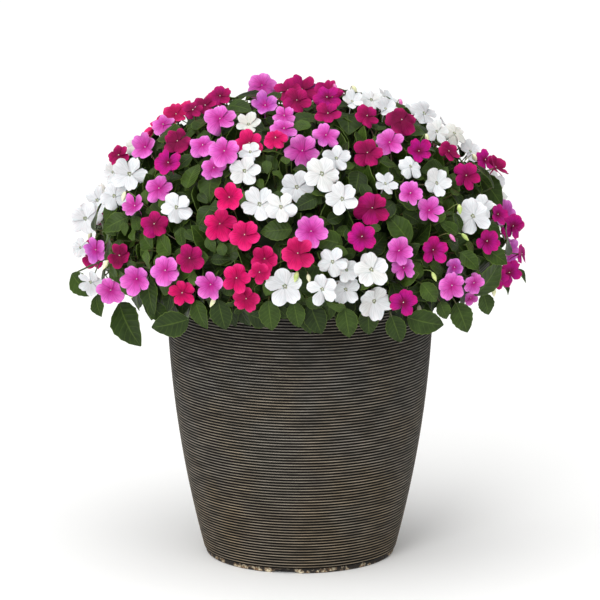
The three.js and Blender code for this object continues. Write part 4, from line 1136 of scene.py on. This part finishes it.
def has_room(points, crowd, blooms, distance):
    """Whether a leaf stands free of the pot, inside the box, clear of the crowd and beside the blooms."""
    return (outside_pot(points) and inside_box(points) and not hides_bloom(points, blooms)
            and crowd.is_clear(points, distance))


def level_ways(turn):
    """The level way out from the axis at an angle round it, and the level way along the circle there."""
    return Vector((math.cos(turn), math.sin(turn), 0)), Vector((-math.sin(turn), math.cos(turn), 0))


def spread_down(count, lowest):
    """Even places over the dome: for each its angle down from the top, the lowest at most, and its number."""
    for spot in range(count):
        share = (spot + 0.5) / count
        yield math.acos(1 - (1 - math.cos(lowest)) * share), spot


def drawn_leaf(down, turn, rises, lengths, spread, turned, draw):
    """A leaf at an angle down and round the dome, running mostly downhill.

    Its rise over the plant's stems and its length are drawn from ranges in millimetres. A larger spread lets
    it run further to the side, and a larger turned lets it face further from the dome's own way."""
    rise = draw.uniform(*rises) * MM
    length = draw.uniform(*lengths) * MM
    root = on_layer(CORE_LAYER, down, turn)
    out = outward(on_layer(BLOOM_LAYER, down, turn), BLOOM_LAYER)
    base = root + out * rise
    level = level_ways(turn)[1]
    downhill = out.cross(level)
    heading = (draw.random() - 0.5) * spread
    tip = base + (downhill * math.cos(heading) + level * math.sin(heading) - out * LEAF_DROOP) * length
    lean = out + Vector((draw.uniform(-1, 1), draw.uniform(-1, 1), draw.uniform(-0.6, 1))) * turned
    leaf = leaf_between(base, tip, lean.normalized())
    leaf["stalk"] = out
    return leaf


def skirt_leaf(spot, share, draw):
    """A leaf that hangs over the pot's lip, further out for a larger share."""
    turn = spot * GOLDEN_ANGLE + draw.uniform(-0.05, 0.05)
    # The first leaves hang 178 mm from the axis, close to the lip, and the last 240 mm.
    radius = (178 + 62 * share + draw.uniform(-5, 5)) * MM
    height = (374 + draw.uniform(-14, 12)) * MM
    out, level = level_ways(turn)
    way = (-UP + level * draw.uniform(-0.5, 0.5) + out * draw.uniform(-0.1, 0.35)).normalized()
    base = out * radius + UP * height
    length = draw.uniform(34, 52) * MM
    facing = (out + UP * draw.uniform(-0.2, 0.5) + level * draw.uniform(-0.4, 0.4)).normalized()
    return leaf_between(base, base + (way - facing * LEAF_DROOP * 0.6) * length, facing)


def turned_leaf(down, turn, draw):
    """A leaf that stands out of the dome with its broad side to the left or the right."""
    out = outward(on_layer(BLOOM_LAYER, down, turn), BLOOM_LAYER)
    level = level_ways(turn)[1]
    downhill = out.cross(level)
    base = on_layer(CORE_LAYER, down, turn) + out * draw.uniform(2, 18) * MM
    way = out * draw.uniform(0.3, 0.8) + downhill * draw.uniform(0.2, 1.0)
    way += level * draw.uniform(-0.4, 0.4)
    facing = level * draw.choice((-1, 1)) + out * draw.uniform(0, 0.7) + UP * draw.uniform(-0.2, 0.4)
    tip = base + way.normalized() * draw.uniform(26, 44) * MM
    leaf = leaf_between(base, tip, facing.normalized())
    leaf["stalk"] = out
    return leaf


class Bed:
    """What the leaves grow in: a pile for each plant, and the crowd and blooms that they keep clear of."""

    def __init__(self, kit, draw):
        self.kit = kit
        self.draw = draw
        self.piles = [Pile() for _ in range(OUTER_PLANTS + 1)]
        self.crowd = crowd_of_sprays()
        self.blooms = shown_blooms()

    def add(self, leaf, points, tint, plant, blade="blade"):
        """Adds a leaf and its stalk to a plant, and keeps the leaf's room in the crowd."""
        self.piles[plant].add(self.kit[blade], points, "leaf", tint)
        stalk_of_leaf(self.piles[plant], self.kit, leaf)
        self.crowd.settle(points[::CROWD_STEP[blade]])

    def grow(self, tries, drawn, room, tints, blade="blade", foot=0):
        """Draws a leaf up to so many times, and adds the first that has room and hangs above the foot."""
        for _ in range(tries):
            leaf = drawn()
            points = blade_points(self.kit[blade], leaf, self.draw)
            if points[:, 2].min() > foot and has_room(points, self.crowd, self.blooms, room):
                self.add(leaf, points, self.draw.uniform(*tints), plant_at(leaf["base"]), blade)
                return


CORE_GAP = 0.6 * MM              # half the room between two plants' cores


def core_block(plant):
    """The close mass of stems and shaded leaves at the heart of one plant, cut to the plant's own ground."""
    start_piece()
    bpy.ops.mesh.primitive_uv_sphere_add(segments=72, ring_count=36, radius=1)
    piece = bpy.context.object
    radius, rise, fall = CORE_LAYER
    for vertex in piece.data.vertices:
        half = rise if vertex.co.z > 0 else fall
        vertex.co = Vector((vertex.co.x * radius, vertex.co.y * radius, DOME_CENTRE + vertex.co.z * half))
        # It lies within the plant's outer stems and is a little uneven, in lumps of about 14 mm.
        shrink = 0.955 + 0.03 * noise.noise(vertex.co / (14 * MM))
        vertex.co = Vector((vertex.co.x * shrink, vertex.co.y * shrink,
                            DOME_CENTRE + (vertex.co.z - DOME_CENTRE) * shrink))
    half_sector = math.pi / OUTER_PLANTS
    cuts = []
    if plant == 0:
        for i in range(OUTER_PLANTS):
            cuts.append((level_ways((2 * i + 1) * half_sector)[0], MIDDLE_PLOT - CORE_GAP))
    else:
        turn = (2 * plant - 1) * half_sector
        cuts.append((-level_ways(turn)[0], -MIDDLE_PLOT - CORE_GAP))
        for side in (-1, 1):
            cuts.append((level_ways(turn + side * (half_sector + math.pi / 2))[0], -CORE_GAP))
    for direction, distance in cuts:
        bpy.ops.object.mode_set(mode="EDIT")
        bpy.ops.mesh.select_all(action="SELECT")
        bpy.ops.mesh.bisect(plane_co=direction * distance, plane_no=direction, use_fill=True,
                            clear_outer=True)
        bpy.ops.object.mode_set(mode="OBJECT")
    return piece


class BusyLizzieFoliage(bpy.types.Operator):
    """Grows each plant: its rooted stem, its inner leaves and every leaf that shows, with their stalks"""

    bl_idname = "busy_lizzie.foliage"
    bl_label = "Foliage"

    def execute(self, context):
        settings = context.scene.lizzie_leaves
        draw = random.Random(SEED)
        kit = {"blade": slab(LEAF_COLUMNS, LEAF_ROWS), "small": slab(4, 6), "rod": rod(5, 4), "rod_rows": 4}
        finishes = {
            "leaf": leaf_finish("waxy_leaf", rgba(settings.dark), rgba(settings.fresh), 0.26),
            "stem": stem_finish("fleshy_stem", "#43562a", "#5a4030"),
            "shade": leaf_finish("shaded_leaf", linear("#212e14"), linear("#3c5023"), 0.1),
        }
        bed = Bed(kit, draw)
        names = ["plant_middle"] + [f"plant_{i + 1}" for i in range(OUTER_PLANTS)]
        for plant, node in enumerate(names):
            self.add_large_leaves(bed, plant, node)
        self.add_edge_leaves(bed)
        self.add_skirt_leaves(bed, settings.skirt_leaves)
        self.add_turned_leaves(bed, settings.turned_leaves)
        self.add_young_leaves(bed, settings.young_leaves)
        self.add_tiny_leaves(bed, settings.tiny_leaves)
        self.add_inner_leaves(bed, settings.inner_leaves)
        for plant, node in enumerate(names):
            self.add_main_stem(bed.piles[plant], kit, plant, draw)
            piece = bed.piles[plant].make(node.replace("plant", "foliage"), finishes)
            block = core_block(plant)
            block.data.materials.append(finishes["shade"])
            join_to(piece, block)
            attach(piece, "root")
            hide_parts(node)
        return {"FINISHED"}

    def add_large_leaves(self, bed, plant, node):
        """The full-grown leaves that the frame gives the plant, those that hang at the front turned to it."""
        leaves = read_leaves(node)
        if not leaves:
            raise RuntimeError(f"no leaf was found in {node}")
        for leaf in leaves:
            hanging = leaf["base"].z < DOME_CENTRE and leaf["base"].y < 0
            if hanging:
                leaf = faced_out(leaf)
            points = blade_points(bed.kit["blade"], leaf, bed.draw)
            tint = bed.draw.uniform(0.0, 0.8) if hanging else bed.draw.uniform(-0.4, 0.6)
            bed.add(leaf, points, tint, plant)

    def add_edge_leaves(self, bed):
        """The single leaves that close the dome's edge, each at the first clear place on its sight line."""
        for across, up, heading, length in EDGE_LEAVES:
            way = Vector((math.cos(heading * RAD), 0, 0)) + PLAN_UP * math.sin(heading * RAD)
            for base in sight_places(across, up, LEAF_LAYER):
                out = outward(base, BLOOM_LAYER)
                facing = (EYE_BACK + out * 0.6 + UP * 0.3).normalized()
                leaf = leaf_between(base, base + (way - facing * LEAF_DROOP * 0.5) * length * MM, facing)
                leaf["stalk"] = out
                points = blade_points(bed.kit["blade"], leaf, bed.draw)
                if inside_box(points, 0) and bed.crowd.is_clear(points, 1.2 * MM):
                    bed.add(leaf, points, bed.draw.uniform(0.1, 0.5), plant_at(base))
                    break

    def add_skirt_leaves(self, bed, count):
        """Leaves that hang like a curtain over the pot's lip, the nearest to the pot first, drawn darker as
        painted shade under the dome.
        """
        for spot in range(count):
            share = (spot + 0.5) / count
            # Tints reach down to the deepest green: painted shade for the dome's underside, where these
            # leaves hang.
            bed.grow(6, lambda: skirt_leaf(spot, share, bed.draw), 2.6 * MM, (-1.0, 0.35), foot=SKIRT_FOOT)

    def add_turned_leaves(self, bed, count):
        """Leaves that stand out between the blooms with their broad side along the dome, not out of it."""
        top = math.cos(30 * RAD)
        for spot in range(count):
            down = math.acos(top - (top - math.cos(108 * RAD)) * (spot + 0.5) / count)
            turn = spot * GOLDEN_ANGLE + 3
            bed.grow(6, lambda: turned_leaf(down, turn, bed.draw), 2.4 * MM, (-0.5, 0.8))

    def add_young_leaves(self, bed, count):
        """Small leaves in the room that the blooms and the big leaves have left."""
        for down, spot in spread_down(count, 112 * RAD):
            turn = spot * GOLDEN_ANGLE
            bed.grow(5, lambda: drawn_leaf(down, turn, (8, 40), (22, 44), 4.4, 0.4, bed.draw),
                     3.2 * MM, (-0.4, 1.0))

    def add_tiny_leaves(self, bed, count):
        """The smallest leaves, at the shoots' ends, in the last room between blooms and leaves."""
        for down, spot in spread_down(count, 108 * RAD):
            turn = spot * GOLDEN_ANGLE + 2
            bed.grow(4, lambda: drawn_leaf(down, turn, (10, 40), (14, 26), 6.2, 0.7, bed.draw),
                     2.0 * MM, (-0.3, 1.0), blade="small")

    def add_inner_leaves(self, bed, count):
        """Shaded leaves that lie like shingles close over the stems, so that no gap shows bare core."""
        for down, spot in spread_down(count, 104 * RAD):
            leaf = drawn_leaf(down, spot * GOLDEN_ANGLE + 1, (1, 9), (34, 50), 5.0, 0.25, bed.draw)
            points = blade_points(bed.kit["small"], leaf, bed.draw)
            if outside_pot(points) and bed.crowd.is_clear(points, 1.5 * MM):
                pile = bed.piles[plant_at(leaf["base"])]
                pile.add(bed.kit["small"], points, "shade", bed.draw.random())

    def add_main_stem(self, pile, kit, plant, draw):
        """The rooted stem and the branches that rise from it."""
        turn = (plant - 0.5) * math.pi / 3
        ring = 0 if plant == 0 else STEM_CIRCLE
        foot = Vector((ring * math.cos(turn), ring * math.sin(turn), SOIL_TOP - STEM_DEPTH))
        top = Vector((foot.x, foot.y, DOME_CENTRE))
        rows = kit["rod_rows"]
        path = [foot.lerp(top, i / rows) for i in range(rows + 1)]
        pile.add_rod(kit, path, [STEM_RADIUS] * (rows + 1), "stem", 0)
        for branch in range(BRANCHES):
            heading = turn + branch * 2 * math.pi / BRANCHES + draw.uniform(-0.3, 0.3)
            end = top + level_ways(heading)[0] * 40 * MM + UP * 18 * MM
            start = foot.lerp(top, draw.uniform(0.72, 0.9))
            places = bezier(start, start.lerp(end, 0.4) + UP * 3 * MM, end - UP * 12 * MM, end, rows)
            pile.add_rod(kit, places, [BRANCH_RADIUS] * (rows + 1), "stem", 0)


def join_to(piece, other):
    """Joins another object's mesh into a piece."""
    start_piece()
    other.select_set(True)
    piece.select_set(True)
    bpy.context.view_layer.objects.active = piece
    bpy.ops.object.join()


# ---------------------------------------------------------------- buds

# Buds that stand clear at the front: (across, up) on the front plan in millimetres, and a colour.
FRONT_BUDS = [
    (-222, 442, "cream"), (-145, 357, "cream"), (-245, 356, "cream"), (-212, 320, "cream"),
    (-110, 309, "cream"), (11, 339, "cream"), (150, 300, "cream"), (244, 322, "cream"), (-5, 341, "green"),
    (169, 341, "green"), (201, 426, "green"), (208, 391, "green"), (192, 390, "pink"), (160, 516, "cream"),
    (220, 491, "cream"), (36, 279, "green"),
]
BACK_BUDS = 40
BUD_SIZE = (3.1, 2.7, 6.2)       # half a bud's width, depth and length, in millimetres
BUD_STALK = 0.55 * MM


def sight_places(across, up, layer):
    """Places along a sight line, from where it meets a layer outwards and then inwards."""
    target = Vector((across * MM, 0, 0)) + PLAN_UP * up * MM
    sight = (target - EYE).normalized()
    steps = [step * 2 * MM for step in range(-200, 60)]
    hits = [step for step in steps if reach(target + sight * step, layer) < 1]
    start = hits[0] if hits else min(steps, key=lambda step: reach(target + sight * step, layer))
    return [target + sight * (start + shift * MM) for shift in (0, -6, 6, -12, 12, 18, 24)]


class BusyLizzieBuds(bpy.types.Operator):
    """Adds pointed buds on thin stalks between the blooms"""

    bl_idname = "busy_lizzie.buds"
    bl_label = "Buds"

    def execute(self, context):
        draw = random.Random(SEED + 1)
        kit = {"ball": ball(8, 6), "rod": rod(5, 6), "rod_rows": 6}
        finishes = {
            "cream": stem_finish("bud_cream", "#f3efcf", "#dfe3b0"),
            "green": stem_finish("bud_green", "#a9c06a", "#dbe39a"),
            "pink": stem_finish("bud_pink", "#e58ac4", "#c84a94"),
            "stalk": stem_finish("bud_stalk", "#7f9a50", "#8c5a58"),
        }
        crowd = crowd_of_sprays()
        pile = Pile()
        choices = [(sight_places(x, y, BLOOM_LAYER), colour) for x, y, colour in FRONT_BUDS]
        for spot in range(BACK_BUDS):
            down = math.acos(1 - 1.1 * (spot + 0.5) / BACK_BUDS)
            turn = (spot * GOLDEN_ANGLE) % math.pi
            place = on_layer(BLOOM_LAYER, down, turn)
            inward = [place - outward(place, BLOOM_LAYER) * shift * MM for shift in (0, 8, 16)]
            choices.append((inward, draw.choice(["cream", "cream", "green", "pink"])))
        for places, colour in choices:
            self.add_bud(pile, kit, places, colour, crowd, draw)
        piece = pile.make("buds", finishes)
        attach(piece, "root")
        return {"FINISHED"}

    def add_bud(self, pile, kit, places, colour, crowd, draw):
        """A bud at the first of its places that is clear, with a stalk down to the plant."""
        size = draw.uniform(0.85, 1.15)
        for place in places:
            out = outward(place, BLOOM_LAYER)
            point_way = (out * 0.3 - UP * draw.uniform(0.5, 1.0)
                         + Vector((draw.uniform(-0.3, 0.3), draw.uniform(-0.3, 0.3), 0))).normalized()
            u, v = across_of(point_way)
            turned = np.array([u, v, point_way])
            x, y, z = kit["ball"].points.T
            width, depth, length = BUD_SIZE
            taper = np.where(z > 0, 1 - 0.55 * z, 1.0)
            local = np.stack([x * width * taper, y * depth * taper, z * length], axis=1) * size * MM
            points = np.array(place) + local @ turned
            if not inside_box(points) or not crowd.is_clear(points, 2.5 * MM):
                continue
            pile.add(kit["ball"], points, colour, draw.random())
            root = place - out * 10 * MM
            while reach(root, CORE_LAYER) > 0.97:
                root -= out * 3 * MM
            start = place - point_way * 5 * size * MM
            path = bezier(start, start - point_way * 9 * MM, root + out * 12 * MM, root, kit["rod_rows"])
            pile.add_rod(kit, path, [BUD_STALK] * len(path), "stalk", 0)
            return


# ---------------------------------------------------------------- stage

FLOOR_SIZE = 60                  # metres, so that the floor's far edge lies past the view
OVERHEAD_POWER = 2.9
OVERHEAD_SPREAD = 95 * RAD       # a broad spread, as under a wide diffuser
OVERHEAD_WAY = Vector((0.15, 0.3, -1))
# The side lights: a name, a place and a width in metres, and a power in watts. All look at the planting.
SOFTBOXES = [("key", (-1.4, -3.7, 2.1), 1.6, 66), ("fill", (2.6, -2.6, 1.4), 1.8, 7)]
LOOKED_AT = Vector((0, 0, 0.35))
AIR_LIGHT = 0.28


class BusyLizzieStage(bpy.types.Operator):
    """Sets the white floor, the soft studio lights and the camera"""

    bl_idname = "busy_lizzie.stage"
    bl_label = "Studio"

    def execute(self, context):
        settings = context.scene.lizzie_stage
        start_piece()
        bpy.ops.mesh.primitive_grid_add(x_subdivisions=8, y_subdivisions=8, size=FLOOR_SIZE)
        floor = bpy.context.object
        floor.name = "studio_floor"
        floor.data.materials.append(backdrop_finish("white_paper", rgba(settings.floor)))
        bpy.ops.object.light_add(type="SUN", location=(-1, -1, 4))
        overhead = bpy.context.object
        overhead.name = "overhead_softbox"
        overhead.data.energy = OVERHEAD_POWER
        overhead.data.angle = OVERHEAD_SPREAD
        overhead.rotation_euler = OVERHEAD_WAY.to_track_quat("-Z", "Y").to_euler()
        for name, place, size, power in SOFTBOXES:
            bpy.ops.object.light_add(type="AREA", location=place)
            light = bpy.context.object
            light.name = f"{name}_softbox"
            light.data.size = size
            light.data.energy = power
            light.rotation_euler = (LOOKED_AT - Vector(place)).to_track_quat("-Z", "Y").to_euler()
        world = bpy.data.worlds.new("studio_air")
        world.use_nodes = True
        air = world.node_tree.nodes["Background"].inputs
        air["Color"].default_value = (1, 1, 1, 1)
        air["Strength"].default_value = AIR_LIGHT
        context.scene.world = world
        context.scene.view_settings.view_transform = "Standard"
        bpy.ops.object.camera_add(location=EYE, rotation=(math.pi / 2 - settings.look_down, 0, 0))
        camera = bpy.context.object
        camera.data.lens = settings.lens
        camera.data.sensor_width = 36
        camera.data.clip_end = 200
        context.scene.camera = camera
        return {"FINISHED"}


# ---------------------------------------------------------------- panel and registration


class BusyLizziePanel(bpy.types.Panel):
    """Lists the settings and the steps that make the planting"""

    bl_idname = "VIEW3D_PT_busy_lizzie"
    bl_label = "Busy Lizzie"
    bl_space_type = "VIEW_3D"
    bl_region_type = "UI"
    bl_category = "Busy Lizzie"

    def draw(self, context):
        for group, steps in PANEL_ROWS:
            box = self.layout.box()
            settings = getattr(context.scene, group)
            for name in settings.bl_rna.properties.keys():
                if name not in ("rna_type", "name"):
                    box.prop(settings, name)
            for step in steps:
                box.operator(step.bl_idname)


PANEL_ROWS = [
    ("lizzie_pot", [BusyLizziePot, BusyLizzieSoil]),
    ("lizzie_leaves", [BusyLizzieFoliage, BusyLizzieBuds]),
    ("lizzie_blooms", [BusyLizzieBlooms]),
    ("lizzie_stage", [BusyLizzieStage]),
]
SETTINGS = {
    "lizzie_pot": LizziePotSettings,
    "lizzie_leaves": LizzieLeafSettings,
    "lizzie_blooms": LizzieBloomSettings,
    "lizzie_stage": LizzieStageSettings,
}
OPERATORS = [step for _, steps in PANEL_ROWS for step in steps]


def register():
    """Registers the settings, the steps and the panel."""
    for group in SETTINGS.values():
        bpy.utils.register_class(group)
    for name, group in SETTINGS.items():
        setattr(bpy.types.Scene, name, bpy.props.PointerProperty(type=group))
    for step in [*OPERATORS, BusyLizziePanel]:
        bpy.utils.register_class(step)


def unregister():
    """Takes back what register has added."""
    for step in reversed([*OPERATORS, BusyLizziePanel]):
        bpy.utils.unregister_class(step)
    for name, group in SETTINGS.items():
        delattr(bpy.types.Scene, name)
        bpy.utils.unregister_class(group)


def main():
    """Makes the planting and its studio."""
    register()
    bpy.ops.busy_lizzie.pot()
    bpy.ops.busy_lizzie.soil()
    bpy.ops.busy_lizzie.foliage()
    bpy.ops.busy_lizzie.blooms()
    bpy.ops.busy_lizzie.buds()
    bpy.ops.busy_lizzie.stage()


if __name__ == "__main__":
    main()
